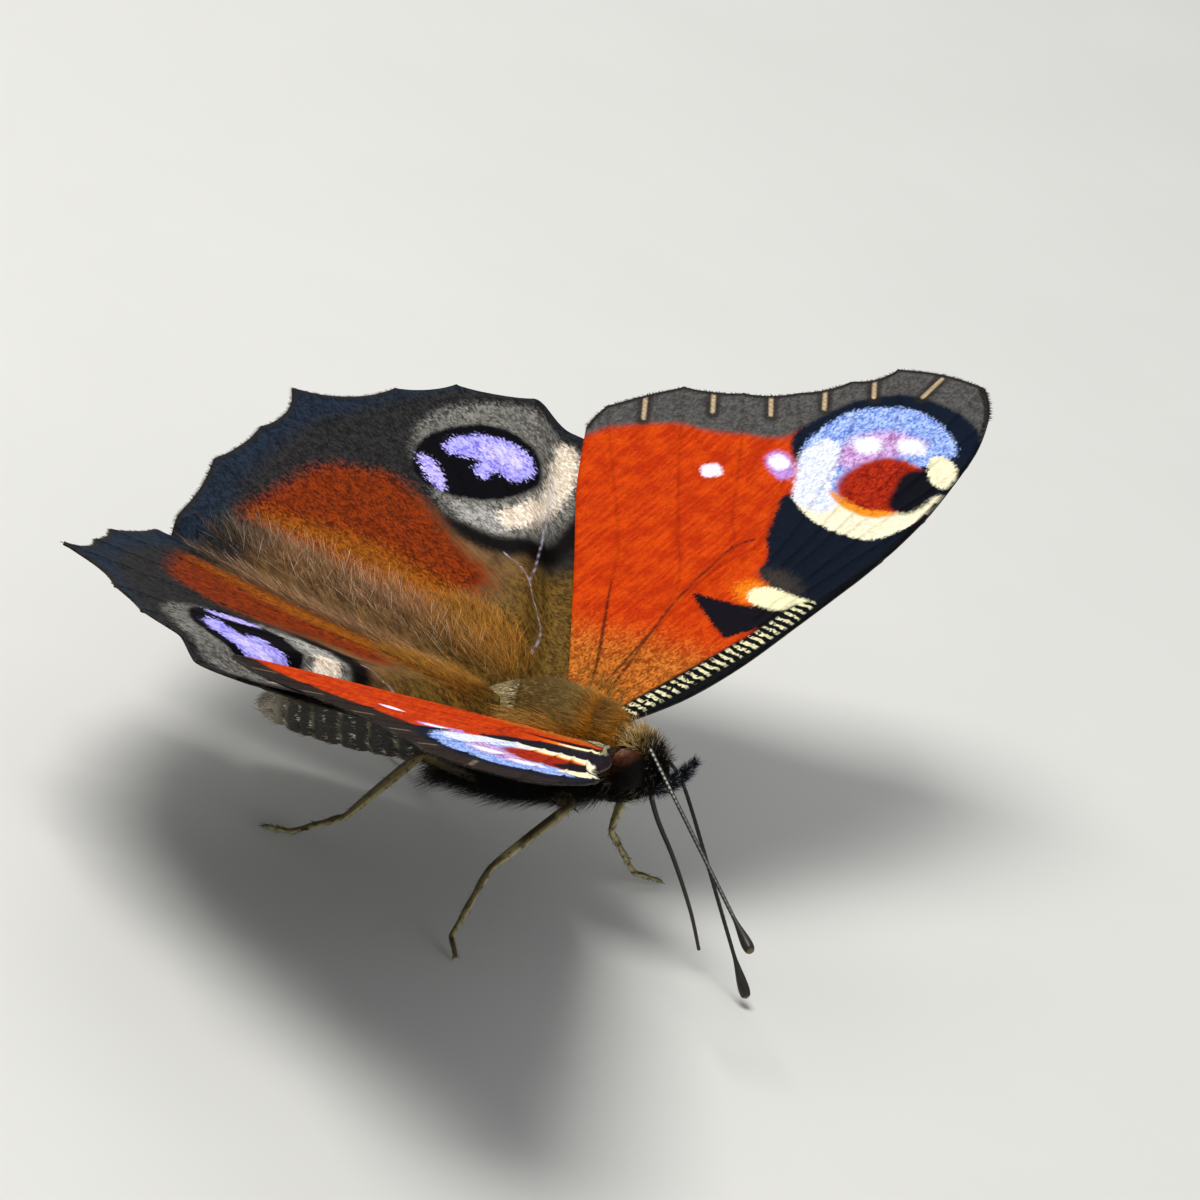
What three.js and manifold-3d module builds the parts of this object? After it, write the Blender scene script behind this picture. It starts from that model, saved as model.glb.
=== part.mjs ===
// Peacock butterfly (Aglais io), a still, life-size model standing on its feet with the wings half open.
// Millimetres, +X towards the head, +Y to the butterfly's left, +Z up.
import * as THREE from 'three';
import { mergeVertices } from 'three/addons/utils/BufferGeometryUtils.js';
import Module from 'manifold-3d';

const wasm = await Module();
wasm.setup();

// Stance: the body is held nose up, on four walking legs
const STANCE_PITCH = THREE.MathUtils.degToRad(16);
const WING_BASE_HEIGHT = 8.4;
const GAP = 0.3;

// Wings: each lies on the plane through its base, its tip and a point at its rear
const WING_BASE_Y = 2;
const MEMBRANE = 0.5;
const VEIN_RIDGE = 0.15;
const VEIN_HALF_WIDTH = 0.24;
const VEIN_RISE = 0.1;
const FOREWING_TIP = { 1: [8.7, 27.2, 8.3], '-1': [6.8, 27.6, 8.8] };
const FOREWING_REAR = { 1: [-7.6, 19.6, 6.8], '-1': [-8.9, 18.9, 7.0] };
const HINDWING_TIP = [-19.2, 12.8, 8.6];
const HINDWING_REAR = [-19.5, 0, 5.5];
const APEX_LIFT = { 1: 0.45, '-1': -1.5 };
const REAR_LIFT = { 1: 0, '-1': 0.38 };
const INNER_EDGE_START = 3.35;
const INNER_EDGE_SLOPE = 0.69;
const TUCK_REACH = 2.2;
const OVERLAP = 3.5;
const VEIN_FADE = 1.5;
const GUTTER_START = 4.5;
const GUTTER_DROP = 0.045;
const GUTTER_END = 9;
const GUTTER_FADE = 8;

// Body, in its own frame with the forewing bases at the origin's height
const THORAX_SECTIONS = [
  { x: -6.7, top: -1.2, bottom: -1.9, half: 0 },
  { x: -6.3, top: -0.4, bottom: -2.5, half: 0.8 },
  { x: -5.1, top: 0.85, bottom: -2.85, half: 1.6 },
  { x: -2.6, top: 1.75, bottom: -3.0, half: 2.1 },
  { x: -0.8, top: 1.4, bottom: -2.95, half: 1.95 },
  { x: 0.3, top: 0.65, bottom: -2.5, half: 1.2 },
  { x: 0.7, top: -0.5, bottom: -1.5, half: 0 },
];
const HEAD_SECTIONS = [
  { x: 0.5, top: -0.8, bottom: -1.4, half: 0 },
  { x: 0.95, top: -0.15, bottom: -2.1, half: 0.85 },
  { x: 1.9, top: 0.2, bottom: -2.6, half: 1.3 },
  { x: 2.8, top: -0.1, bottom: -2.5, half: 1.05 },
  { x: 3.35, top: -0.9, bottom: -1.7, half: 0 },
];
const EYE_CENTRE = [1.85, 1.05, -1.45];
const EYE_RADII = [1.0, 0.72, 1.0];
const ABDOMEN_FRONT = [-6.2, 0, -1.4];
const ABDOMEN_TIP = [-15.3, 0, -1.45];
const ABDOMEN_SEGMENTS = 7;
const ABDOMEN_RADIUS = 1.38;
const SEGMENT_STEP = 0.1;

// Coat: flat tapered locks on the thorax and the head, each with its root sunk in the core
const THORAX_LOCKS = {
  rows: [0.17, 0.3, 0.42, 0.53, 0.64, 0.75, 0.85],
  spacing: 1.4,
  length: 2.0,
  width: 1.25,
  tilt: 24,
};
const HEAD_LOCKS = { rows: [0.36, 0.52, 0.68], spacing: 0.9, length: 0.9, width: 0.6, tilt: 50 };
const BELLY_LEAN = [0, 0, -0.25];
const HEAD_LEAN = [1.5, 0, 0.25];
const WING_CLEARANCE = 0.8;
const WING_ROOT_CLEARANCE = 1.2;
const NECK_CLEARANCE = 1.1;
const LOCK_THICKNESS = 0.5;
const LOCK_SINK = 0.35;
const LOCK_VARIATION = 0.25;
const LOCK_CURL = 0.3;
const LOCK_STRAY = 0.3;
const LIE_STEP = 0.13;
const LOCK_SHAPE = [[0, 0.8], [0.4, 1], [0.78, 0.62]];

// Feelers and mouth parts
const ANTENNA_PATHS = {
  1: [[2.5, 0.8, -0.6], [3.4, 1.4, -1.45], [3.7, 1.25, -3.0], [5.45, -0.05, -6.6], [7.35, -1.2, -10.35]],
  '-1': [[2.35, -0.75, -0.35], [9.3, -7.6, -5.8]],
};
const ANTENNA_RADIUS = 0.25;
const CLUB_RADIUS = 0.45;
const CLUB_START = 0.8;
const PALP_PATH = [[2.6, 0.5, -2.1], [3.4, 0.48, -1.9], [3.95, 0.46, -1.4], [4.4, 0.42, -0.75]];
const PALP_RADII = [0.28, 0.31, 0.31, 0.14];
const PROBOSCIS_PATH = [[2.2, 0, -2.4], [2.6, 0, -3.6], [3.45, 0, -5.3], [4.3, 0, -7.4], [4.75, 0.1, -9.1]];
const PROBOSCIS_RADII = [0.25, 0.25];

// Legs: joints from the body to the toe, in the frame of the floor below the wing bases
const LEGS = {
  midleg_right: [[-0.9, -1, 5.2], [0.83, -4.6, 6.65], [-1, -7, 3.6], [-1.3, -8.2, 0.6], [-0.7, -8.9, 0.2]],
  midleg_left: [[-0.9, 1, 5.2], [0.83, 4.6, 6.65], [0.9, 4.4, 2.3], [2.2, 5.6, 0.45], [3.3, 6.5, 0.2]],
  hindleg_right: [[-3.7, -1, 4.4], [-5.9, -4.5, 5.9], [-8, -5, 2], [-9.9, -5.2, 0.45], [-11.1, -5.35, 0.2]],
  hindleg_left: [[-3.7, 1, 4.4], [-5.6, 4.5, 5.9], [-7.4, 5.6, 2.2], [-8.8, 6.4, 0.5], [-9.9, 6.9, 0.2]],
};
const LEG_RADII = [0.42, 0.36, 0.3, 0.27, 0.26];
const JOINT_LENGTH = 0.32;
const JOINT_SWELL = 1.12;
const FORELEG_PATH = [[-0.1, 0.9, -2.9], [0.5, 1.0, -3.65], [1.5, 0.95, -3.5], [2.2, 0.9, -3.1]];
const FORELEG_RADII = [0.36, 0.34, 0.28, 0.25];

// Veins of each wing from the root to the margin, as (towards the tip, towards the rear) on its plane.
// The first and last lines are the wing's own edges. ridge is where along the line the vein stands up.
const FOREWING_VEINS = [
  { name: 'costal edge', path: [[-0.2, -0.6], [2.6, -1.6], [5.8, -2.15], [9.5, -2.4], [13, -2.6]] },
  { name: 'Sc', ridge: 0, path: [[-0.22, -0.35], [3, -1.15], [7, -1.7], [11, -2.05], [15.4, -2.65]] },
  {
    name: 'R1', ridge: 0,
    path: [[-0.25, -0.1], [3, -0.7], [7, -1.05], [11.5, -1.35], [15.5, -1.8], [18.8, -2.5]],
  },
  {
    name: 'R3', ridge: 0.4,
    path: [[-0.28, 0.1], [3, -0.35], [7, -0.6], [12, -0.8], [17, -1.05], [23.2, -1.75]],
  },
  {
    name: 'R4', ridge: 0.6,
    path: [[-0.3, 0.3], [3, -0.1], [7, -0.25], [12, -0.35], [17, -0.4], [26.3, -0.65]],
  },
  {
    name: 'R5', ridge: 0.45,
    path: [[-0.33, 0.5], [3, 0.15], [7, 0.1], [12, 0.05], [17, 0.2], [22, 0.5], [28.1, 0.8]],
  },
  {
    name: 'M1', ridge: 0.45, wide: true,
    path: [[-0.36, 0.75], [3, 0.5], [7, 0.6], [12.6, 0.6], [17, 1], [23, 2.2], [26.95, 4.7]],
  },
  {
    name: 'M2', ridge: 0.5, wide: true,
    path: [[-0.4, 0.95], [3, 0.85], [7, 1.2], [12.9, 1.3], [17.5, 2.3], [22.1, 3.8], [25, 5.85]],
  },
  {
    name: 'M3', ridge: 0.5, wide: true,
    path: [[-0.43, 1.15], [3, 1.2], [7, 1.85], [13, 2.3], [16.2, 3.6], [19.7, 5], [22.9, 7.25]],
  },
  {
    name: 'Cu1', ridge: 0, wide: true,
    path: [[-0.46, 1.35], [3, 1.55], [7, 2.45], [11.8, 2.9], [13.9, 4.3], [18.2, 7], [21.4, 9.2]],
  },
  {
    name: 'Cu2', ridge: 0.3, wide: true,
    path: [[-0.5, 1.6], [3, 1.95], [8.2, 3.15], [11.8, 5.7], [16.9, 9.4], [20.2, 11.6]],
  },
  {
    name: '2A', ridge: 0, wide: true,
    path: [[-0.55, 1.95], [1.8, 2.6], [6, 5.1], [9.6, 7.3], [15.7, 12.4], [17, 13.5]],
  },
  { name: 'inner edge', path: [[-0.6, 2.3], [2.8, 4.7], [7.4, 8], [11.5, 11], [15.2, 13.3]] },
];
const FOREWING_BULGE = [0.03, 0.03, 0.03, 0.1, 0.12, 0.35, -0.25, -0.15, -0.15, -0.1, 0.12, 0.08];
const HINDWING_VEINS = [
  { name: 'costal edge', path: [[1.4, 0], [3.8, -2.6], [7.5, -6.9], [11.5, -10.2], [14.6, -11.7]] },
  {
    name: 'Sc+R1', ridge: 0, wide: true,
    path: [[1.65, 0.2], [5, -2.2], [9, -5.9], [13, -9], [16.6, -11.5]],
  },
  {
    name: 'Rs', ridge: 0, wide: true,
    path: [[1.95, 0.45], [5.4, -0.9], [7.7, -2.1], [10.6, -4.3], [14.3, -7.3], [19.4, -10.4]],
  },
  {
    name: 'M1', ridge: 0.3, wide: true,
    path: [[2.25, 0.75], [5.5, -0.3], [8.5, -1.6], [13.6, -4.4], [17.5, -6.3], [21.5, -7.4]],
  },
  {
    name: 'M2', ridge: 0.35, wide: true,
    path: [[2.55, 1.05], [6, 0.2], [9.5, -1], [14, -2.6], [18, -3.9], [22.2, -4.5]],
  },
  {
    name: 'M3', ridge: 0.3, wide: true,
    path: [[2.85, 1.35], [6.5, 0.9], [10.5, 0.3], [14, -0.3], [19, -0.2], [23.8, 0.1]],
  },
  {
    name: 'Cu1', ridge: 0.25, wide: true,
    path: [[3.1, 1.65], [7, 1.7], [11, 2], [16, 2.6], [21.9, 3.2]],
  },
  { name: 'Cu2', ridge: 0, wide: true, path: [[3.4, 1.95], [7.5, 2.7], [12, 4], [16, 5.4], [20.7, 6.6]] },
  { name: '2A', ridge: 0, wide: true, path: [[3.75, 2.25], [8, 4.3], [12.5, 6.9], [18.2, 10]] },
  { name: 'inner edge', path: [[4.1, 2.6], [8, 5.4], [12, 7.9], [17.2, 10.9]] },
];
const HINDWING_BULGE = [0.1, 0.2, -0.15, -0.2, -0.6, -0.5, -0.2, -0.15, 0.1];
const WING_ROWS = [0, 0.07, 0.15, 0.25, 0.36, 0.48, 0.6, 0.72, 0.84, 0.94, 1];

// Materials
const COLOURS = {
  thorax: ['#5a4426', 0.8],
  head: ['#2a2018', 0.85],
  eye: ['#1c1210', 0.25],
  abdomen: ['#3b352d', 0.75],
  antenna: ['#241d16', 0.5],
  leg: ['#6b5a2c', 0.6],
  forewing: ['#c0430f', 0.7],
  hindwing: ['#7a3a14', 0.75],
};

function material(slot) {
  const [color, roughness] = COLOURS[slot];
  return new THREE.MeshStandardMaterial({ color, roughness, metalness: 0 });
}

function vector(point) {
  return new THREE.Vector3(...point);
}

function mirrored([x, y, z], side) {
  return [x, y * side, z];
}

// A smooth curve through values that are spaced evenly from 0 to 1
function curveOf(values) {
  return new THREE.SplineCurve(values.map((value, i) => new THREE.Vector2(i / (values.length - 1), value)));
}

// Random numbers from 0 to 1 that come out the same every time
const RANDOM_FACTOR = 16807;
const RANDOM_MODULUS = 2147483647;
let seed = 20;

function random() {
  seed = (seed * RANDOM_FACTOR) % RANDOM_MODULUS;
  return seed / RANDOM_MODULUS;
}

// Solids and cuts
function solidOf(geometry, matrix = new THREE.Matrix4()) {
  const bare = geometry.clone();
  bare.deleteAttribute('normal');
  bare.deleteAttribute('uv');
  const merged = mergeVertices(bare.applyMatrix4(matrix), 1e-4);
  const mesh = new wasm.Mesh({
    numProp: 3,
    vertProperties: new Float32Array(merged.attributes.position.array),
    triVerts: new Uint32Array(merged.index.array),
  });
  return new wasm.Manifold(mesh);
}

function largestBody(solid) {
  const bodies = solid.decompose();
  return bodies.reduce((best, body) => (body.volume() > best.volume() ? body : best));
}

function geometryOf(solid) {
  const mesh = largestBody(solid).getMesh();
  const geometry = new THREE.BufferGeometry();
  geometry.setAttribute('position', new THREE.BufferAttribute(mesh.vertProperties, 3));
  geometry.setIndex(new THREE.BufferAttribute(mesh.triVerts, 1));
  return geometry;
}

function trim(mesh, cutters) {
  mesh.updateWorldMatrix(true, false);
  let solid = solidOf(mesh.geometry, mesh.matrixWorld);
  for (const cutter of cutters) {
    solid = solid.subtract(cutter);
  }
  mesh.geometry = geometryOf(solid).applyMatrix4(mesh.matrixWorld.clone().invert());
}

function node(parent, name, slot, geometry) {
  const mesh = new THREE.Mesh(geometry, material(slot));
  mesh.name = name;
  parent.add(mesh);
  return mesh;
}

// Surface of a rounded body along X through its sections: share runs from its rear to its front, angle from
// the top over its left side
function bodySurface(sections, grow = 0) {
  const keys = ['x', 'top', 'bottom', 'half'];
  const curves = keys.map((key) => curveOf(sections.map((section) => section[key])));
  const [first, last] = [sections[0].x, sections[sections.length - 1].x];
  return (share, angle) => {
    const [x, top, bottom, half] = curves.map((curve) => curve.getPoint(share).y);
    const pole = share < 0.001 || share > 0.999;
    const rise = pole ? 0 : (top - bottom) / 2 + grow;
    const reach = pole ? 0 : half + grow;
    const stretch = grow * (2 * (x - first) / (last - first) - 1);
    return vector([x + stretch, reach * Math.sin(angle), (top + bottom) / 2 + rise * Math.cos(angle)]);
  };
}

function sectionedBody(sections, around, along, grow = 0) {
  const surface = bodySurface(sections, grow);
  const sphere = new THREE.SphereGeometry(1, around, along);
  const position = sphere.attributes.position;
  for (let i = 0; i < position.count; i += 1) {
    const angle = Math.atan2(-position.getX(i), position.getZ(i));
    const share = 0.5 + Math.asin(THREE.MathUtils.clamp(position.getY(i), -1, 1)) / Math.PI;
    position.setXYZ(i, ...surface(share, angle));
  }
  return sphere;
}

// A flat tapered lock of hair: it leaves its root along heading and bends back to the surface
function lockGeometry(root, heading, out, length, width) {
  const across = out.clone().cross(heading).normalize();
  const flat = heading.clone().cross(across);
  const start = root.clone().addScaledVector(out, -LOCK_SINK);
  const centreAt = (share) => start.clone()
    .addScaledVector(heading, length * share)
    .addScaledVector(flat, LOCK_CURL * Math.sin(Math.PI * Math.min(1, share * 0.9)));
  const positions = [...centreAt(-0.05).toArray()];
  for (const [share, fullness] of LOCK_SHAPE) {
    const centre = centreAt(share);
    const half = (width / 2) * fullness;
    const thick = (LOCK_THICKNESS / 2) * Math.sqrt(fullness);
    positions.push(...centre.clone().addScaledVector(across, half).toArray());
    positions.push(...centre.clone().addScaledVector(flat, thick).toArray());
    positions.push(...centre.clone().addScaledVector(across, -half).toArray());
    positions.push(...centre.clone().addScaledVector(flat, -thick).toArray());
  }
  positions.push(...centreAt(1).toArray());
  return closedTube(positions, 4);
}

// Locks in rows round a body, pointing to its rear, with the rows staggered
function coat(sections, locks, lean, keeps) {
  const surface = bodySurface(sections);
  const pieces = [];
  locks.rows.forEach((share, row) => {
    const girth = surface(share, 0).distanceTo(surface(share, Math.PI)) * Math.PI;
    const count = Math.round(girth / locks.spacing);
    for (let i = 0; i < count; i += 1) {
      const angle = (2 * Math.PI * (i + (row % 2) / 2 + LOCK_STRAY * (random() - 0.5))) / count;
      const root = surface(share, angle);
      const rearward = surface(share - LIE_STEP, angle).sub(root).normalize();
      const round = surface(share, angle + 0.01).sub(root).normalize();
      const out = round.clone().cross(rearward).normalize();
      const tilt = THREE.MathUtils.degToRad(locks.tilt * (1 + LOCK_VARIATION * (random() - 0.5)));
      const heading = rearward.clone().multiplyScalar(Math.cos(tilt))
        .addScaledVector(out, Math.sin(tilt))
        .add(lean(out))
        .normalize();
      const length = locks.length * (1 + LOCK_VARIATION * (random() - 0.5));
      const tip = root.clone().addScaledVector(heading, length);
      if (keeps(root, tip)) {
        pieces.push(lockGeometry(root, heading, out, length, locks.width));
      }
    }
  });
  return pieces;
}

function ellipsoid(centre, radii, grow = 0) {
  return new THREE.SphereGeometry(1, 18, 12)
    .scale(radii[0] + grow, radii[1] + grow, radii[2] + grow)
    .translate(...centre);
}

// A closed tube with a ring at each of its centres, square to the way the line runs there
function tube(centres, radii, sides, grow = 0) {
  const last = centres.length - 1;
  const headings = centres.map((centre, i) => {
    const before = centres[Math.max(i - 1, 0)];
    const after = centres[Math.min(i + 1, last)];
    const arriving = i > 0 ? centre.clone().sub(before).normalize() : after.clone().sub(centre).normalize();
    const leaving = i < last ? after.clone().sub(centre).normalize() : arriving;
    return arriving.clone().add(leaving).normalize();
  });
  const normal = new THREE.Vector3(0.31, 0.17, 0.93).cross(headings[0]).normalize();
  const ends = [
    centres[0].clone().addScaledVector(headings[0], -grow),
    centres[last].clone().addScaledVector(headings[last], grow),
  ];
  const positions = [...ends[0].toArray()];
  centres.forEach((centre, i) => {
    normal.addScaledVector(headings[i], -normal.dot(headings[i])).normalize();
    const binormal = headings[i].clone().cross(normal);
    const middle = i === 0 ? ends[0] : i === last ? ends[1] : centre;
    const radius = radii[i] + grow;
    for (let j = 0; j < sides; j += 1) {
      const angle = (2 * Math.PI * j) / sides;
      const rim = middle.clone()
        .addScaledVector(normal, radius * Math.cos(angle))
        .addScaledVector(binormal, radius * Math.sin(angle));
      positions.push(...rim.toArray());
    }
  });
  positions.push(...ends[1].toArray());
  return closedTube(positions, sides);
}

// Closes rings of points, with a first point before them and a last point after them
function closedTube(positions, sides) {
  const index = [];
  const tip = positions.length / 3 - 1;
  const last = (positions.length / 3 - 2) / sides - 1;
  for (let j = 0; j < sides; j += 1) {
    const next = (j + 1) % sides;
    index.push(0, 1 + next, 1 + j);
    index.push(tip, tip - sides + j, tip - sides + next);
    for (let i = 0; i < last; i += 1) {
      const low = 1 + i * sides;
      const high = low + sides;
      index.push(low + j, low + next, high + next, low + j, high + next, high + j);
    }
  }
  const geometry = new THREE.BufferGeometry();
  geometry.setAttribute('position', new THREE.Float32BufferAttribute(positions, 3));
  geometry.setIndex(index);
  return geometry;
}

// Tapering tube along a smooth curve through points, with a radius at each point
function taperedTube(points, radii, sides, steps, grow = 0) {
  const path = new THREE.CatmullRomCurve3(points.map(vector), false, 'centripetal');
  const radiusCurve = curveOf(radii);
  const shares = Array.from({ length: steps + 1 }, (_, i) => i / steps);
  const along = shares.map((share) => radiusCurve.getPoint(share).y);
  return tube(shares.map((share) => path.getPointAt(share)), along, sides, grow);
}

// Jointed leg: straight tapering lengths with a swollen joint at each bend
function jointedLimb(points, radii, sides, grow = 0) {
  const joints = points.map(vector);
  const centres = [];
  const sizes = [];
  joints.forEach((joint, i) => {
    const inner = i > 0 && i + 1 < joints.length;
    if (inner) {
      centres.push(joint.clone().add(joints[i - 1].clone().sub(joint).setLength(JOINT_LENGTH)));
      sizes.push(radii[i] * 0.95);
    }
    centres.push(joint);
    sizes.push(radii[i] * (inner ? JOINT_SWELL : 1));
    if (inner) {
      centres.push(joint.clone().add(joints[i + 1].clone().sub(joint).setLength(JOINT_LENGTH)));
      sizes.push(radii[i] * 0.95);
    }
  });
  return tube(centres, sizes, sides, grow);
}

// Wing plane: origin at the base, first axis to the tip, third axis up
function wingFrame(tip, rear, side) {
  const base = vector([0, WING_BASE_Y * side, 0]);
  const outward = vector(mirrored(tip, side)).sub(base).normalize();
  const toRear = vector(mirrored(rear, side)).sub(base);
  const up = outward.clone().cross(toRear).normalize().multiplyScalar(side);
  const across = up.clone().cross(outward);
  return new THREE.Matrix4().makeBasis(outward, across, up).setPosition(base);
}

function smooth(value) {
  const t = THREE.MathUtils.clamp(value, 0, 1);
  return t * t * (3 - 2 * t);
}

const FOREWING_FRAMES = {
  1: wingFrame(FOREWING_TIP[1], FOREWING_REAR[1], 1),
  '-1': wingFrame(FOREWING_TIP[-1], FOREWING_REAR[-1], -1),
};
const HINDWING_FRAMES = {
  1: wingFrame(HINDWING_TIP, HINDWING_REAR, 1),
  '-1': wingFrame(HINDWING_TIP, HINDWING_REAR, -1),
};

// The forewing curves up or down a little, as the two wings aren't held quite alike
function forewingHeight(u, v, side) {
  return APEX_LIFT[side] * (Math.max(u, 0) / 28) ** 2 + REAR_LIFT[side] * (Math.max(v, 0) / 10) ** 2;
}

// How far a place on the hindwing's plane lies behind the forewing's inner edge, and under the forewing
function placeUnderForewing(u, v, side) {
  const place = vector([u, v * side, 0])
    .applyMatrix4(HINDWING_FRAMES[side])
    .applyMatrix4(FOREWING_FRAMES[side].clone().invert());
  const behind = place.y * side - INNER_EDGE_START - INNER_EDGE_SLOPE * place.x;
  return { behind, room: forewingHeight(place.x, place.y * side, side) - MEMBRANE - GAP - place.z };
}

// The hindwing dips under the forewing along its front and bends down beside the abdomen
function hindwingHeight(u, v, side) {
  const { behind, room } = placeUnderForewing(u, v, side);
  const tuck = 1 - smooth(behind / TUCK_REACH);
  const fold = Math.max(0, v - GUTTER_START) * (1 - smooth((u - GUTTER_END) / GUTTER_FADE));
  return Math.min(room, 0) * tuck - GUTTER_DROP * fold * fold;
}

// Where the two wings lie on each other the veins fade on the faces that are turned together
function forewingRidges(u, v) {
  return [1, smooth((INNER_EDGE_START + INNER_EDGE_SLOPE * u - v - OVERLAP) / VEIN_FADE)];
}

function hindwingRidges(u, v, side) {
  return [smooth((placeUnderForewing(u, v, side).behind - GAP) / VEIN_FADE), 1];
}

const FOREWING = {
  veins: FOREWING_VEINS,
  bulges: FOREWING_BULGE,
  heightAt: forewingHeight,
  ridgeShares: forewingRidges,
};
const HINDWING = {
  veins: HINDWING_VEINS,
  bulges: HINDWING_BULGE,
  heightAt: hindwingHeight,
  ridgeShares: hindwingRidges,
};

// Columns of the wing's grid: each vein has a crest and, where wide, a foot on either side
function wingColumns(veins, bulges, grow) {
  const curves = veins.map((vein) => {
    const places = vein.path.map((place) => new THREE.Vector2(...place));
    return new THREE.SplineCurve(places);
  });
  const crest = (i, t) => {
    const point = curves[i].getPointAt(t);
    const outer = i === 0 ? curves[1] : i === curves.length - 1 ? curves[i - 1] : null;
    return outer ? point.add(point.clone().sub(outer.getPointAt(t)).setLength(grow + 1e-6)) : point;
  };
  const columns = [];
  veins.forEach((vein, i) => {
    const foot = (towards) => (t) => {
      const here = crest(i, t);
      const there = crest(towards, t);
      const gap = here.distanceTo(there);
      return here.lerp(there, Math.min(VEIN_HALF_WIDTH, gap * 0.3) / gap);
    };
    if (vein.wide) {
      columns.push({ at: foot(i - 1), ridge: () => 0 });
    }
    const start = vein.ridge ?? Infinity;
    columns.push({ at: (t) => crest(i, t), ridge: (t) => VEIN_RIDGE * smooth((t - start) / VEIN_RISE + 1) });
    if (vein.wide) {
      columns.push({ at: foot(i + 1), ridge: () => 0 });
    }
    if (i + 1 < veins.length) {
      const middle = (t) => {
        const [a, b] = [crest(i, t), crest(i + 1, t)];
        const chord = b.clone().sub(a);
        const outward = new THREE.Vector2(chord.y, -chord.x).normalize();
        const swell = bulges[i] * smooth((t - 0.85) / 0.15);
        return a.add(b).multiplyScalar(0.5).addScaledVector(outward, swell);
      };
      columns.push({ at: middle, ridge: () => 0 });
    }
  });
  return columns;
}

function wingGeometry({ veins, bulges, heightAt, ridgeShares }, side, grow = 0) {
  const columns = wingColumns(veins, bulges, grow);
  const across = columns.length;
  const rows = WING_ROWS.length;
  const faces = { 1: [], '-1': [] };
  for (const t of WING_ROWS) {
    for (const column of columns) {
      const point = column.at(t);
      const height = heightAt(point.x, point.y, side);
      const ridge = column.ridge(t);
      const [above, below] = ridgeShares(point.x, point.y, side);
      faces[1].push(point.x, point.y * side, height + MEMBRANE / 2 + grow + ridge * above);
      faces[-1].push(point.x, point.y * side, height - MEMBRANE / 2 - grow - ridge * below);
    }
  }
  const bottom = across * rows;
  const index = [];
  const quad = (a, b, c, d) => {
    if (side > 0) {
      index.push(a, b, c, a, c, d);
    } else {
      index.push(a, c, b, a, d, c);
    }
  };
  for (let row = 0; row + 1 < rows; row += 1) {
    for (let column = 0; column + 1 < across; column += 1) {
      const a = row * across + column;
      const [b, c, d] = [a + across, a + across + 1, a + 1];
      quad(a, b, c, d);
      index.push(...(side > 0 ? [bottom + a, bottom + c, bottom + b, bottom + a, bottom + d, bottom + c]
        : [bottom + a, bottom + b, bottom + c, bottom + a, bottom + c, bottom + d]));
    }
  }
  const rim = [];
  for (let column = 0; column + 1 < across; column += 1) {
    rim.push([column, column + 1]);
    rim.push([(rows - 1) * across + column + 1, (rows - 1) * across + column]);
  }
  for (let row = 0; row + 1 < rows; row += 1) {
    rim.push([(row + 1) * across, row * across]);
    rim.push([(row + 1) * across - 1, (row + 2) * across - 1]);
  }
  for (const [from, to] of rim) {
    quad(from, to, bottom + to, bottom + from);
  }
  const geometry = new THREE.BufferGeometry();
  geometry.setAttribute('position', new THREE.Float32BufferAttribute([...faces[1], ...faces[-1]], 3));
  geometry.setIndex(index);
  return geometry;
}

function addWing(name, slot, frame, shape, side) {
  const mesh = node(body, name, slot, wingGeometry(shape, side));
  frame.decompose(mesh.position, mesh.quaternion, mesh.scale);
  return { mesh, around: bodyCutter(wingGeometry(shape, side, GAP).applyMatrix4(frame)) };
}

// Abdomen: ringed segments that widen towards the rear and step in
function abdomenGeometry(grow = 0) {
  const length = ABDOMEN_FRONT[0] - ABDOMEN_TIP[0];
  const profile = [new THREE.Vector2(0, -grow)];
  const fullness = (share) => Math.max(0, 1 - ((share - 0.3) / 0.72) ** 2) ** 0.45;
  const radiusAt = (share) => ABDOMEN_RADIUS * fullness(share);
  for (let i = 0; i < ABDOMEN_SEGMENTS; i += 1) {
    const start = i / ABDOMEN_SEGMENTS;
    for (const [part, step] of [[0.02, -SEGMENT_STEP], [0.35, 0], [0.9, 0.02]]) {
      const share = start + part / ABDOMEN_SEGMENTS;
      profile.push(new THREE.Vector2(Math.max(0.15, radiusAt(share) + step) + grow, share * length));
    }
  }
  profile.push(new THREE.Vector2(0.25 + grow, length * 0.99));
  profile.push(new THREE.Vector2(0, length + grow));
  return new THREE.LatheGeometry(profile, 18)
    .rotateZ(Math.PI / 2)
    .scale(1, 0.95, 1)
    .translate(...ABDOMEN_FRONT);
}

function antennaRadii() {
  return Array.from({ length: 11 }, (_, i) => {
    const share = i / 10;
    if (share < CLUB_START) {
      return ANTENNA_RADIUS;
    }
    const along = (share - CLUB_START) / (1 - CLUB_START);
    return along > 0.95 ? 0.16 : ANTENNA_RADIUS + (CLUB_RADIUS - ANTENNA_RADIUS) * smooth(along * 1.4);
  });
}

// A lock is left out where it would stand in a wing or over an eye
function clearOfWings(root, tip) {
  return [root, tip].every((point) => {
    const side = point.y < 0 ? -1 : 1;
    return [FOREWING_FRAMES[side], HINDWING_FRAMES[side]].every((frame) => {
      const place = point.clone().applyMatrix4(frame.clone().invert());
      return place.x < -WING_ROOT_CLEARANCE || Math.abs(place.z) > WING_CLEARANCE;
    });
  });
}

function clearOfEyes(root, tip) {
  return [root, tip].every((point) => {
    const centre = vector(mirrored(EYE_CENTRE, point.y < 0 ? -1 : 1));
    return point.distanceTo(centre) > EYE_RADII[0] + GAP && point.x > NECK_CLEARANCE;
  });
}

const butterfly = new THREE.Group();
const body = new THREE.Group();
body.rotation.y = -STANCE_PITCH;
body.position.z = WING_BASE_HEIGHT;
butterfly.add(body);
body.updateWorldMatrix(true, true);

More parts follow.
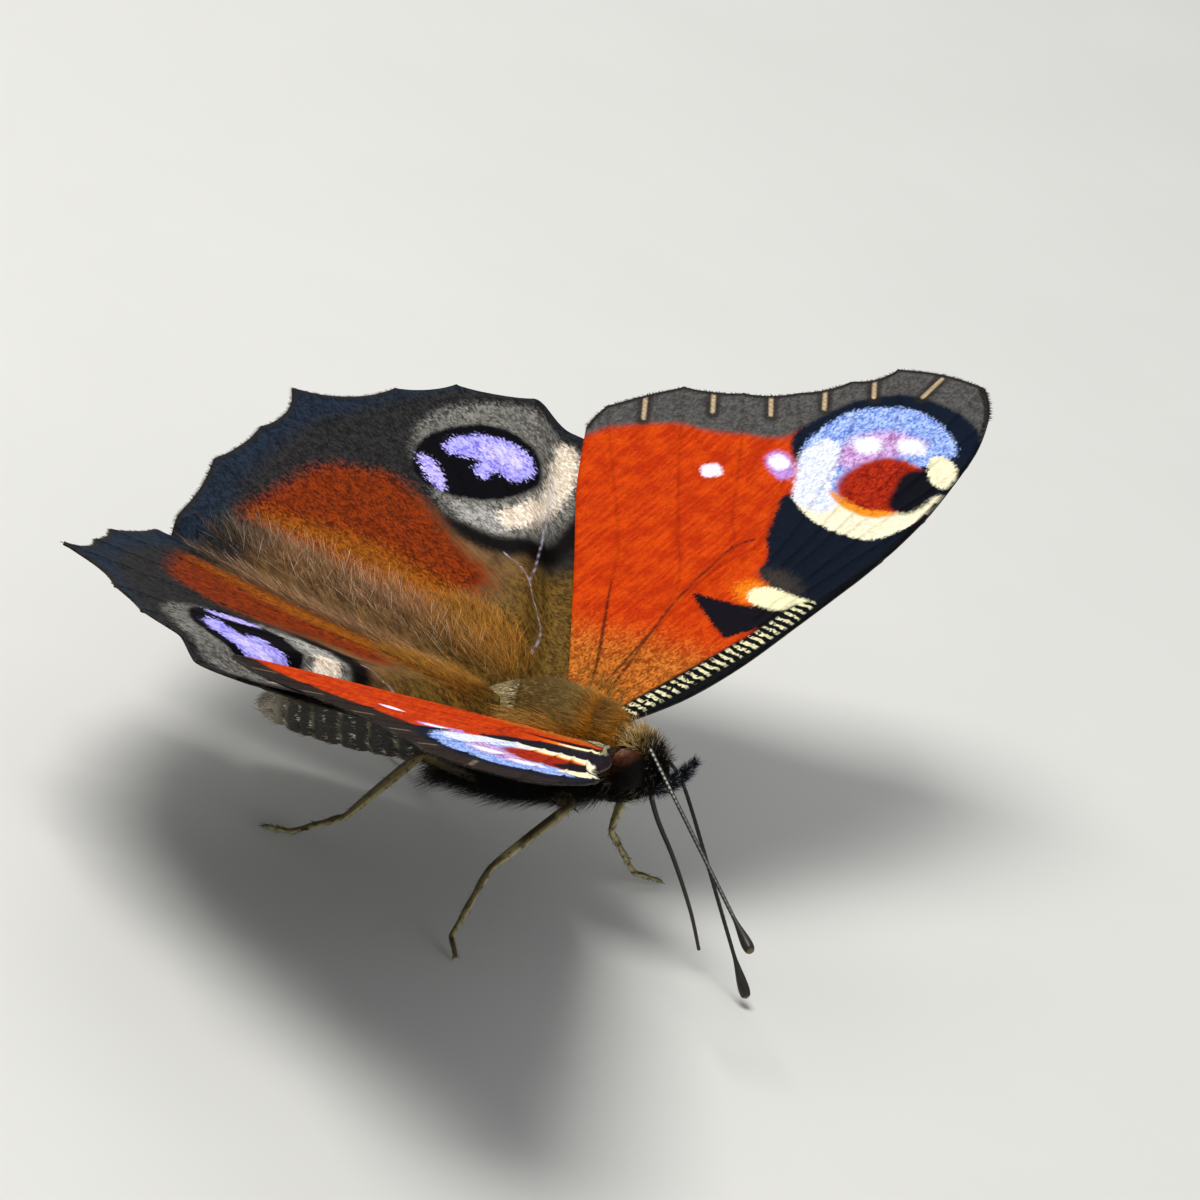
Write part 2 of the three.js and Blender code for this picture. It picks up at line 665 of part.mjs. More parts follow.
function bodyCutter(geometry) {
  return solidOf(geometry, body.matrixWorld);
}

const thorax = node(body, 'thorax', 'thorax', sectionedBody(THORAX_SECTIONS, 22, 14));
const head = node(body, 'head', 'head', sectionedBody(HEAD_SECTIONS, 18, 12));
const abdomen = node(body, 'abdomen', 'abdomen', abdomenGeometry());
const aroundThorax = bodyCutter(sectionedBody(THORAX_SECTIONS, 22, 14, GAP));
const aroundHead = bodyCutter(sectionedBody(HEAD_SECTIONS, 18, 12, GAP));
const aroundAbdomen = bodyCutter(abdomenGeometry(GAP));
trim(abdomen, [aroundThorax]);

const aroundEyes = [];
for (const side of [1, -1]) {
  const label = side > 0 ? 'left' : 'right';
  const centre = mirrored(EYE_CENTRE, side);
  node(body, `eye_${label}`, 'eye', ellipsoid(centre, EYE_RADII));
  aroundEyes.push(bodyCutter(ellipsoid(centre, EYE_RADII, GAP)));
}

const proboscis = node(body, 'proboscis', 'antenna', taperedTube(PROBOSCIS_PATH, PROBOSCIS_RADII, 8, 8));
trim(proboscis, [aroundHead]);
const aroundProboscis = bodyCutter(taperedTube(PROBOSCIS_PATH, PROBOSCIS_RADII, 8, 8, GAP));

const aroundLimbs = [];
for (const side of [1, -1]) {
  const label = side > 0 ? 'left' : 'right';
  const palpPath = PALP_PATH.map((point) => mirrored(point, side));
  const palp = node(body, `palp_${label}`, 'head', taperedTube(palpPath, PALP_RADII, 8, 6));
  trim(palp, [aroundHead, aroundProboscis]);
  aroundLimbs.push(bodyCutter(taperedTube(palpPath, PALP_RADII, 8, 6, GAP)));

  const antennaTube = taperedTube(ANTENNA_PATHS[side], antennaRadii(), 8, 20);
  const antenna = node(body, `antenna_${label}`, 'antenna', antennaTube);
  trim(antenna, [aroundHead, ...aroundEyes]);
  aroundLimbs.push(bodyCutter(taperedTube(ANTENNA_PATHS[side], antennaRadii(), 8, 20, GAP)));

  const forelegPath = FORELEG_PATH.map((point) => mirrored(point, side));
  const foreleg = node(body, `foreleg_${label}`, 'leg', jointedLimb(forelegPath, FORELEG_RADII, 8));
  trim(foreleg, [aroundThorax, aroundHead, ...aroundEyes]);
  aroundLimbs.push(bodyCutter(jointedLimb(forelegPath, FORELEG_RADII, 8, GAP)));

  const forewing = addWing(`forewing_${label}`, 'forewing', FOREWING_FRAMES[side], FOREWING, side);
  const hindwing = addWing(`hindwing_${label}`, 'hindwing', HINDWING_FRAMES[side], HINDWING, side);
  trim(forewing.mesh, [aroundThorax]);
  trim(hindwing.mesh, [aroundThorax]);
  aroundLimbs.push(forewing.around, hindwing.around);
}

// The walking legs are cut flat where they stand
const belowFloor = solidOf(new THREE.BoxGeometry(80, 80, 10).translate(0, 0, -5));
for (const [name, joints] of Object.entries(LEGS)) {
  const leg = node(butterfly, name, 'leg', jointedLimb(joints, LEG_RADII, 8));
  trim(leg, [aroundThorax, belowFloor]);
  aroundLimbs.push(solidOf(jointedLimb(joints, LEG_RADII, 8, GAP)));
}

// The coat's locks are fused with their core, then cut clear of everything beside it
function growCoat(core, locks) {
  core.updateWorldMatrix(true, false);
  let solid = solidOf(core.geometry, core.matrixWorld);
  for (const lock of locks) {
    solid = solid.add(bodyCutter(lock));
  }
  core.geometry = geometryOf(solid).applyMatrix4(core.matrixWorld.clone().invert());
}

const hanging = (out) => (out.z < 0 ? vector(BELLY_LEAN) : new THREE.Vector3());
growCoat(thorax, coat(THORAX_SECTIONS, THORAX_LOCKS, hanging, clearOfWings));
trim(thorax, [...aroundEyes, aroundAbdomen, ...aroundLimbs]);
growCoat(head, coat(HEAD_SECTIONS, HEAD_LOCKS, () => vector(HEAD_LEAN), clearOfEyes));
trim(head, [aroundThorax, aroundProboscis, ...aroundEyes, ...aroundLimbs]);

// The origin is on the floor, under the middle of the whole
const extent = new THREE.Box3().setFromObject(butterfly, true);
const middle = extent.getCenter(new THREE.Vector3());
const model = new THREE.Group();
butterfly.position.set(-middle.x, -middle.y, -extent.min.z);
model.add(butterfly);

export default model;
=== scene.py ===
# Looks of the peacock butterfly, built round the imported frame. Shapes are worked out in millimetres in
# the body's own frame (+X to the head, +Y to the butterfly's left, forewing bases at height 0) and are
# then set on the floor, in metres.
import math

import bpy
import numpy as np
from mathutils import Matrix, Vector, geometry


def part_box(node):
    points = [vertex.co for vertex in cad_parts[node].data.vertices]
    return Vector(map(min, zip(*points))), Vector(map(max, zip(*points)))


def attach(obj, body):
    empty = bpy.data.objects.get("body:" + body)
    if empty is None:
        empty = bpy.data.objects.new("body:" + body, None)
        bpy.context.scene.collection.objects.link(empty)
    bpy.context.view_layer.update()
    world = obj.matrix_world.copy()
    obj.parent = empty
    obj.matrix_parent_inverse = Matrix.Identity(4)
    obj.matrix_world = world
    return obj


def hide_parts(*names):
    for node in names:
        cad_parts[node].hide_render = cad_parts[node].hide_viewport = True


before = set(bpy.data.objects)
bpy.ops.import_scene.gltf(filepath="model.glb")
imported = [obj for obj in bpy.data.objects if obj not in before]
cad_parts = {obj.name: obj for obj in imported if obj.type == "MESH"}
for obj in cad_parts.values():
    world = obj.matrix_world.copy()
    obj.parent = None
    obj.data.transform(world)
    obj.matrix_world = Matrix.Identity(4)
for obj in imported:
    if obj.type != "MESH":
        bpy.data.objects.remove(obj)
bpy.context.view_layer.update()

# The butterfly's two sides, by the sign of y
SIDES = {1: "left", -1: "right"}

# Stance, as in the part's source
PITCH = math.radians(16)
WING_BASE_HEIGHT = 8.4
WING_BASE_Y = 2.0
EYE_CENTRE = np.array([1.85, 1.05, -1.45])

# Wing planes, as in the part's source
FOREWING_TIP = {1: (8.7, 27.2, 8.3), -1: (6.8, 27.6, 8.8)}
FOREWING_REAR = {1: (-7.6, 19.6, 6.8), -1: (-8.9, 18.9, 7.0)}
HINDWING_TIP = {side: (-19.2, 12.8, 8.6) for side in SIDES}
HINDWING_REAR = {side: (-19.5, 0, 5.5) for side in SIDES}
APEX_LIFT = {1: 0.45, -1: -1.5}
REAR_LIFT = {1: 0, -1: 0.38}
INNER_EDGE_START = 3.35
INNER_EDGE_SLOPE = 0.69
TUCK_REACH = 2.2
SOLID_MEMBRANE = 0.5
GAP = 0.3
GUTTER_START = 4.5
GUTTER_DROP = 0.045
GUTTER_END = 9
GUTTER_FADE = 8

# Where the two hindwings meet, their inner edges fold down
INNER_FOLD = 0.7
INNER_FOLD_WIDTH = 1.1

# What the wings look like from close by
MEMBRANE = 0.1
VEIN_RIDGE = 0.05
VEIN_WIDTH = 0.11
MEMBRANE_SAG = 0.03
MESH_STEP = 0.17
NARROWING = 0.85
NARROW_START = 0
NARROW_END = 19
EDGE_START = 4

# Scales in a millimetre, outward and across
SCALE_ROWS = (7.0, 12.0)

# How finely lines are drawn: steps from one given point to the next, and points on whole lines
SPLINE_STEPS = 40
CLOSED_STEPS = 10
LEG_STEPS = 26
LINE_POINTS = 60
RIDGE_POINTS = 50
SECTION_POINTS = 200
FEELER_POINTS = 420
PROBOSCIS_POINTS = 120

# Corners round the tubes and the eye, rows over the eye, and a tuft's size on the coat's map
TUBE_SIDES = 14
PALP_SIDES = 16
EYE_ROWS = 56
EYE_AROUND = 72
BAKE_PATCH = 0.003

# Tufts on each leg, folded front leg and palp
LEG_TUFTS = 1500
FORELEG_TUFTS = 900
PALP_TUFTS = 1100

FOREWING_VEINS = [
    [(-0.2, -0.6), (2.6, -1.6), (5.8, -2.15), (9.5, -2.4), (13, -2.6)],
    [(-0.22, -0.35), (3, -1.15), (7, -1.7), (11, -2.05), (15.4, -2.65)],
    [(-0.25, -0.1), (3, -0.7), (7, -1.05), (11.5, -1.35), (15.5, -1.8), (18.8, -2.5)],
    [(-0.28, 0.1), (3, -0.35), (7, -0.6), (12, -0.8), (17, -1.05), (23.2, -1.75)],
    [(-0.3, 0.3), (3, -0.1), (7, -0.25), (12, -0.35), (17, -0.4), (26.3, -0.65)],
    [(-0.33, 0.5), (3, 0.15), (7, 0.1), (12, 0.05), (17, 0.2), (22, 0.5), (28.1, 0.8)],
    [(-0.36, 0.75), (3, 0.5), (7, 0.6), (12.6, 0.6), (17, 1), (23, 2.2), (26.95, 4.7)],
    [(-0.4, 0.95), (3, 0.85), (7, 1.2), (12.9, 1.3), (17.5, 2.3), (22.1, 3.8), (25, 5.85)],
    [(-0.43, 1.15), (3, 1.2), (7, 1.85), (13, 2.3), (16.2, 3.6), (19.7, 5), (22.9, 7.25)],
    [(-0.46, 1.35), (3, 1.55), (7, 2.45), (11.8, 2.9), (13.9, 4.3), (18.2, 7), (21.4, 9.2)],
    [(-0.5, 1.6), (3, 1.95), (8.2, 3.15), (11.8, 5.7), (16.9, 9.4), (20.2, 11.6)],
    [(-0.55, 1.95), (1.8, 2.6), (6, 5.1), (9.6, 7.3), (15.7, 12.4), (17, 13.5)],
    [(-0.6, 2.3), (2.8, 4.7), (7.4, 8), (11.5, 11), (15.2, 13.3)],
]
FOREWING_BULGE = [0.03, 0.03, 0.03, 0.1, 0.12, 0.35, -0.25, -0.15, -0.15, -0.1, 0.12, 0.08]
FOREWING_RIDGES = [None, 0, 0, 0.4, 0.6, 0.45, 0.45, 0.5, 0.5, 0, 0.3, 0, None]
HINDWING_VEINS = [
    [(1.4, 0), (3.8, -2.6), (7.5, -6.9), (11.5, -10.2), (14.6, -11.7)],
    [(1.65, 0.2), (5, -2.2), (9, -5.9), (13, -9), (16.6, -11.5)],
    [(1.95, 0.45), (5.4, -0.9), (7.7, -2.1), (10.6, -4.3), (14.3, -7.3), (19.4, -10.4)],
    [(2.25, 0.75), (5.5, -0.3), (8.5, -1.6), (13.6, -4.4), (17.5, -6.3), (21.5, -7.4)],
    [(2.55, 1.05), (6, 0.2), (9.5, -1), (14, -2.6), (18, -3.9), (22.2, -4.5)],
    [(2.85, 1.35), (6.5, 0.9), (10.5, 0.3), (14, -0.3), (19, -0.2), (23.8, 0.1)],
    [(3.1, 1.65), (7, 1.7), (11, 2), (16, 2.6), (21.9, 3.2)],
    [(3.4, 1.95), (7.5, 2.7), (12, 4), (16, 5.4), (20.7, 6.6)],
    [(3.75, 2.25), (8, 4.3), (12.5, 6.9), (18.2, 10)],
    [(3.3, 2.2), (3.6, 3.9), (4.9, 4.9), (8, 6.4), (12, 8.6), (17.2, 11.25)],
]
HINDWING_BULGE = [0.1, 0.2, -0.15, -0.2, -0.6, -0.5, -0.2, -0.15, 0.1]
HINDWING_RIDGES = [None, 0, 0, 0.3, 0.35, 0.3, 0.25, 0, 0, None]


def smooth(value):
    t = np.clip(value, 0, 1)
    return t * t * (3 - 2 * t)


def unit(vectors):
    vectors = np.asarray(vectors, float)
    return vectors / np.linalg.norm(vectors, axis=-1, keepdims=True)


def curve_span(before, start, end, after, w):
    """A smooth span from start to end, as w goes from 0 to 1."""
    leave, arrive = (end - before) / 2, (after - start) / 2
    line = start + w * leave + w**2 * (3 * (end - start) - 2 * leave - arrive)
    return line + w**3 * (2 * (start - end) + leave + arrive)


def length_along(line):
    """How far along a line each of its points lies."""
    return np.concatenate([[0], np.cumsum(np.linalg.norm(np.diff(line, axis=0), axis=1))])


def evenly(line, count, endpoint=True):
    """Points spaced evenly along a line."""
    length = length_along(line)
    even = np.linspace(0, length[-1], count, endpoint=endpoint)
    return columns(*(np.interp(even, length, values) for values in line.T))


def spline(points, count):
    """A smooth line through points, given at count places that are spaced evenly along it."""
    points = np.array(points, float)
    last = len(points) - 1
    place = np.linspace(0, last, SPLINE_STEPS * last + 1)
    i = np.minimum(place.astype(int), last - 1)
    before, after = points[np.maximum(i - 1, 0)], points[np.minimum(i + 2, last)]
    return evenly(curve_span(before, points[i], points[i + 1], after, (place - i)[:, None]), count)


def closed_spline(points):
    """A smooth closed line through points."""
    ring = np.array(points, float)
    extended = np.concatenate([ring[-2:], ring, ring[:3]])
    w = np.linspace(0, 1, CLOSED_STEPS, endpoint=False)[:, None]
    return np.concatenate([curve_span(*extended[i : i + 4], w) for i in range(1, len(ring) + 1)])


def columns(*values):
    """Rows made of the given columns."""
    return np.stack(values, -1)


def grid(*values):
    """Every combination of the given values, as one long column for each."""
    return (column.ravel() for column in np.meshgrid(*values, indexing="ij"))


def ringed_faces(rows, around, crossed=False):
    """Triangles of a tube whose rings are followed by its two end points. Crossed turns the diagonals."""
    row, a = grid(np.arange(rows - 1), np.arange(around))
    b = row * around + (a + 1) % around
    a = a + row * around
    turn = np.arange(around)
    ahead, base, ends = (turn + 1) % around, (rows - 1) * around, np.full(around, rows * around)
    first, second = (b + around, a) if crossed else (a + around, b)
    return np.concatenate([columns(a, b, first), columns(second, b + around, a + around),
                           columns(ahead, turn, ends), columns(base + turn, base + ahead, ends + 1)])


def line_distance(places, line):
    """How far each place is from a line of points, in the same plane."""
    best = np.full(len(places), np.inf)
    for a, b in zip(line[:-1], line[1:]):
        chord = b - a
        t = np.clip((places - a) @ chord / max(chord @ chord, 1e-12), 0, 1)
        gap = places - a - t[:, None] * chord
        best = np.minimum(best, np.einsum("ij,ij->i", gap, gap))
    return np.sqrt(best)


def area_depth(places, outline):
    """How far inside a closed line of points each place is. Outside it the number is negative."""
    x, y = places.T
    crossings = np.zeros(len(places), int)
    for a, b in zip(outline, np.roll(outline, -1, 0)):
        spans = (a[1] > y) != (b[1] > y)
        rise = b[1] - a[1] if b[1] != a[1] else 1e-12
        crossings += spans & (x < (b[0] - a[0]) * (y - a[1]) / rise + a[0])
    distance = line_distance(places, np.concatenate([outline, outline[:1]]))
    return np.where(crossings % 2 == 1, distance, -distance)


# From the body's frame to the floor's. The eyes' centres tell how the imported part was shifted.
def to_floor(points):
    x, y, z = np.asarray(points, float).T
    turned = columns(x * math.cos(PITCH) - z * math.sin(PITCH), y,
                     x * math.sin(PITCH) + z * math.cos(PITCH))
    return turned + (0, 0, WING_BASE_HEIGHT)


def middle_of(node):
    low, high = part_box(node)
    return np.array((low + high) / 2) * 1000


EYES_MIDDLE = (middle_of("eye_left") + middle_of("eye_right")) / 2
SHIFT = EYES_MIDDLE - to_floor([[EYE_CENTRE[0], 0, EYE_CENTRE[2]]])[0]


def in_scene(points, on_floor=False):
    """Metres in the row's frame, from millimetres in the body's or the floor's frame."""
    return ((np.asarray(points, float) if on_floor else to_floor(points)) + SHIFT) / 1000


# Nodes of a material
class Shader:
    """A material with its Principled shader, and short ways to add nodes to it."""

    def __init__(self, name, **values):
        self.material = bpy.data.materials.new(name)
        self.material.use_nodes = True
        self.nodes = self.material.node_tree.nodes
        self.links = self.material.node_tree.links
        self.shader = self.nodes["Principled BSDF"]
        for key, value in values.items():
            self.shader.inputs[key.replace("_", " ")].default_value = value

    def put(self, socket, value):
        if isinstance(value, bpy.types.NodeSocket):
            self.links.new(value, socket)
        elif isinstance(value, str):
            socket.default_value = (*colour(value), 1)
        else:
            socket.default_value = value

    def node(self, kind, output=0, **inputs):
        made = self.nodes.new("ShaderNode" + kind)
        for key, value in inputs.items():
            self.put(made.inputs[key.replace("_", " ")], value)
        return made.outputs[output]

    def math(self, operation, *values):
        made = self.nodes.new("ShaderNodeMath")
        made.operation = operation
        for socket, value in zip(made.inputs, values):
            self.put(socket, value)
        return made.outputs[0]

    def plus(self, a, b):
        return self.math("ADD", a, b)

    def minus(self, a, b):
        return self.math("SUBTRACT", a, b)

    def times(self, a, b):
        return self.math("MULTIPLY", a, b)

    def rest(self, share):
        return self.minus(1.0, share)

    def mix(self, share, a, b, blend="MIX"):
        made = self.nodes.new("ShaderNodeMix")
        made.data_type = "RGBA"
        made.blend_type = blend
        for socket, value in ((0, share), (6, a), (7, b)):
            self.put(made.inputs[socket], value)
        return made.outputs[2]

    def attribute(self, name, output="Fac"):
        made = self.nodes.new("ShaderNodeAttribute")
        made.attribute_name = name
        return made.outputs[output]

    def between(self, value, low, high, top=1.0):
        """0 below low, rising smoothly to top at high."""
        made = self.nodes.new("ShaderNodeMapRange")
        made.interpolation_type = "SMOOTHSTEP"
        for key, setting in (("Value", value), ("From Min", low), ("From Max", high), ("To Max", top)):
            self.put(made.inputs[key], setting)
        return made.outputs[0]

    def noise(self, scale, detail=3.0, vector=None):
        return self.node("TexNoise", Scale=scale, Detail=detail, Roughness=0.55,
                         Vector=vector or self.places())

    def flat(self, u, v):
        """A place on a wing's plane, as a vector."""
        return self.node("CombineXYZ", X=u, Y=v)

    def places(self):
        return self.node("TexCoord", "Object")

    def bump(self, height, distance, strength=1.0):
        self.set("Normal", self.node("Bump", Distance=distance, Strength=strength, Height=height))

    def set(self, name, value):
        self.put(self.shader.inputs[name], value)

    def set_shaded(self, paint, shade):
        """Paint, darkened or lit by a grey shade."""
        tone = self.node("CombineColor", Red=shade, Green=shade, Blue=shade)
        self.set("Base Color", self.mix(1.0, paint, tone, "MULTIPLY"))


def colour(text):
    """Linear red, green and blue of a #rrggbb colour."""
    shares = np.array([int(text[i : i + 2], 16) / 255 for i in (1, 3, 5)])
    return np.where(shares <= 0.04045, shares / 12.92, ((shares + 0.055) / 1.055) ** 2.4)


def new_piece(name, points, faces, materials, replaces=(), on_floor=False, face_material=None):
    """A mesh piece from points in millimetres and rows of corners, riding on the one body."""
    faces = np.asarray(faces, np.int32)
    places = in_scene(points, on_floor)
    places[:, 2] = np.maximum(places[:, 2], 0)
    mesh = bpy.data.meshes.new(name)
    mesh.vertices.add(len(places))
    mesh.vertices.foreach_set("co", places.astype(np.float32).ravel())
    mesh.loops.add(faces.size)
    mesh.loops.foreach_set("vertex_index", faces.ravel())
    mesh.polygons.add(len(faces))
    mesh.polygons.foreach_set("loop_start", np.arange(len(faces), dtype=np.int32) * faces.shape[1])
    for material in materials:
        mesh.materials.append(material)
    if face_material is not None:
        mesh.polygons.foreach_set("material_index", face_material.astype(np.int32))
    mesh.update(calc_edges=True)
    mesh.validate()
    mesh.shade_smooth()
    piece = bpy.data.objects.new(name, mesh)
    bpy.context.scene.collection.objects.link(piece)
    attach(piece, "root")
    if replaces:
        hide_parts(*replaces)
    return piece


def add_values(piece, name, values):
    attribute = piece.data.attributes.new(name, "FLOAT", "POINT")
    attribute.data.foreach_set("value", np.asarray(values, np.float32))


def add_colours(piece, name, values):
    attribute = piece.data.attributes.new(name, "FLOAT_COLOR", "POINT")
    rgba = np.concatenate([values, np.ones((len(values), 1))], 1)
    attribute.data.foreach_set("color", rgba.astype(np.float32).ravel())


def add_bake_map(piece, places):
    """The UV map that the coat's tufts are baked through, from a place for each vertex."""
    mesh = piece.data
    corners = np.zeros(len(mesh.loops), np.int32)
    mesh.loops.foreach_get("vertex_index", corners)
    layer = mesh.uv_layers.new(name="OFBake")
    layer.data.foreach_set("uv", places[corners].astype(np.float32).ravel())


# Wing frames and heights
def wing_frame(tip, rear, side):
    """Base, outward, across and up of a wing's plane. A place is base + u outward + v side across + h up."""
    mirror = np.array([1, side, 1])
    base = np.array([0, WING_BASE_Y * side, 0])
    outward = unit(np.array(tip) * mirror - base)
    up = unit(np.cross(outward, np.array(rear) * mirror - base)) * side
    return base, outward, np.cross(up, outward), up


class Wing:
    """A kind of wing: its planes on both sides, its veins, margin waves and raised veins, and its height."""

    def __init__(self, slot, tips, rears, veins, bulges, ridges, height):
        self.slot, self.veins, self.bulges, self.ridges, self.height = slot, veins, bulges, ridges, height
        self.planes = {side: wing_frame(tips[side], rears[side], side) for side in SIDES}

    def on(self, places, heights, side):
        base, outward, across, up = self.planes[side]
        u, v = places.T
        return base + u[:, None] * outward + (v * side)[:, None] * across + heights[:, None] * up

    def margin_ends(self, outline):
        """Where the outer margin starts and ends in the wing's outline."""
        ends = (self.veins[EDGE_START][-1], self.veins[-1][-1])
        return [np.argmin(np.linalg.norm(outline - end, axis=1)) for end in ends]


def narrowed(places, side):
    """The right forewing shows less of its front edge, from the tip's near half inward, than the left one."""
    u, v = places.T
    window = smooth((u - NARROW_START) / 5) * (1 - smooth((u - NARROW_END) / 4))
    pull = NARROWING * smooth((-v - 0.8) / 1.4) * window * (side < 0)
    return columns(u, v + pull)


def forewing_height(places, side):
    u, v = np.maximum(places, 0).T
    return APEX_LIFT[side] * (u / 28) ** 2 + REAR_LIFT[side] * (v / 10) ** 2


def hindwing_height(places, side):
    """The hindwing dips under the forewing along its front and bends down beside the abdomen."""
    base, outward, across, up = FORE.planes[side]
    offset = HIND.on(places, np.zeros(len(places)), side) - base
    under = columns(offset @ outward, offset @ across * side)
    behind = under[:, 1] - INNER_EDGE_START - INNER_EDGE_SLOPE * under[:, 0]
    room = forewing_height(under, side) - SOLID_MEMBRANE - GAP - offset @ up
    tuck = 1 - smooth(behind / TUCK_REACH)
    u, v = places.T
    fold = np.maximum(0, v - GUTTER_START) * (1 - smooth((u - GUTTER_END) / GUTTER_FADE))
    height = np.minimum(room, 0) * tuck - GUTTER_DROP * fold**2
    from_middle = np.abs(HIND.on(places, height, side)[:, 1])
    return height - INNER_FOLD * (1 - smooth(from_middle / INNER_FOLD_WIDTH))


FORE = Wing("forewing", FOREWING_TIP, FOREWING_REAR, FOREWING_VEINS, FOREWING_BULGE, FOREWING_RIDGES,
            forewing_height)
HIND = Wing("hindwing", HINDWING_TIP, HINDWING_REAR, HINDWING_VEINS, HINDWING_BULGE, HINDWING_RIDGES,
            hindwing_height)


def wing_outline(wing, step):
    """The wing's edge from the root round the tip and back, with the margin's waves between the veins."""
    lines = [spline(vein, LINE_POINTS) for vein in wing.veins]
    edge = [lines[0][:-1]]
    for line, after, bulge in zip(lines, lines[1:], wing.bulges):
        start, chord = line[-1], after[-1] - line[-1]
        s = np.linspace(0, 1, max(4, int(np.hypot(*chord) / step)), endpoint=False)[:, None]
        edge.append(start + chord * s + unit([chord[1], -chord[0]]) * bulge * 4 * s * (1 - s))
    edge = np.concatenate([*edge, lines[-1][::-1], lines[0][:1]])
    return evenly(edge, int(length_along(edge)[-1] / step), endpoint=False)


def wing_mesh(outline, veins):
    """Places and triangles that fill the outline evenly and follow the veins."""
    step = MESH_STEP
    inner = []
    for vein in veins:
        chord = np.subtract(vein[-1], vein[0])
        line = spline(vein, int(np.linalg.norm(chord) / step))
        keep = area_depth(line, outline) > step * 0.6
        along = unit(np.gradient(line, axis=0))
        for shift in (-VEIN_WIDTH, 0, VEIN_WIDTH):
            inner.append((line + shift * columns(along[:, 1], -along[:, 0]))[keep])
    low, high = outline.min(0), outline.max(0)
    across, up = np.meshgrid(np.arange(low[0], high[0], step),
                             np.arange(low[1], high[1], step * math.sqrt(0.75)))
    across[::2] += step / 2
    lattice = columns(across.ravel(), up.ravel())
    lattice = lattice[area_depth(lattice, outline) > step * 0.55]
    kept = list(outline)
    cells = {(int(u // (step / 2)), int(v // (step / 2))) for u, v in outline}
    for u, v in np.concatenate([*inner, lattice]):
        cell = (int(u // (step / 2)), int(v // (step / 2)))
        if cell not in cells:
            cells.add(cell)
            kept.append((u, v))
    edges = [(i, (i + 1) % len(outline)) for i in range(len(outline))]
    found = geometry.delaunay_2d_cdt([Vector(place) for place in kept], edges, [], 0, 1e-5, False)
    places, triangles = np.array([tuple(p) for p in found[0]]), np.array(found[2])
    return places, triangles[area_depth(places[triangles].mean(1), outline) > 0]


def vein_relief(places, wing):
    """How far each place is from the nearest raised vein, up to 9 mm."""
    gaps = [line_distance(places, spline(vein, RIDGE_POINTS)[int(start * (RIDGE_POINTS - 1)) :])
            for vein, start in zip(wing.veins, wing.ridges) if start is not None]
    return np.minimum(np.min(gaps, axis=0), 9.0)


def facing_up(places, triangles, side):
    """The triangles, turned so that they face up on either side's wing."""
    corners = places[triangles]
    first, second = corners[:, 1] - corners[:, 0], corners[:, 2] - corners[:, 0]
    flipped = (first[:, 0] * second[:, 1] - first[:, 1] * second[:, 0]) * side < 0
    triangles[flipped] = triangles[flipped][:, ::-1]
    return triangles


def closed_sheet(triangles, count):
    """Triangles of a sheet's upper side, its lower side, whose corners come count later, and the rim."""
    directed = np.concatenate([triangles[:, [0, 1]], triangles[:, [1, 2]], triangles[:, [2, 0]]]).tolist()
    known = set(map(tuple, directed))
    a, b = np.array([(a, b) for a, b in directed if (b, a) not in known]).T
    rim = np.concatenate([columns(b, a, a + count), columns(b, a + count, b + count)])
    return np.concatenate([triangles, triangles[:, ::-1] + count, rim])


def make_wing(wing, side, layers_of, materials):
    """A thin closed wing, with the depths of its markings kept at its vertices."""
    outline = wing_outline(wing, MESH_STEP)
    u, v = outline.T
    if np.sum(u * np.roll(v, -1) - v * np.roll(u, -1)) < 0:
        outline = outline[::-1]
    places, triangles = wing_mesh(outline, wing.veins[1:-1])
    triangles = facing_up(places, triangles, side)
    vein_gap = vein_relief(places, wing)
    ridge = VEIN_RIDGE * (1 - smooth(vein_gap / VEIN_WIDTH))
    middle = wing.height(places, side) - MEMBRANE_SAG * smooth(vein_gap / 0.9)
    shown = narrowed(places, side) if wing is FORE else places
    top, bottom = (wing.on(shown, middle + face * (MEMBRANE / 2 + ridge), side) for face in (1, -1))
    faces = closed_sheet(triangles, len(places))
    label = SIDES[side]
    piece = new_piece(f"{wing.slot}_{label}_surface", np.concatenate([top, bottom]), faces, materials,
                      replaces=[f"{wing.slot}_{label}"],
                      face_material=np.arange(len(faces)) >= len(triangles))
    start, end = sorted(wing.margin_ends(outline))
    layers = {**layers_of(places), "edge": line_distance(places, outline[start:end]), "vein": vein_gap,
              "wing_u": places[:, 0], "wing_v": places[:, 1]}
    for key, values in layers.items():
        add_values(piece, key, np.tile(values, 2))


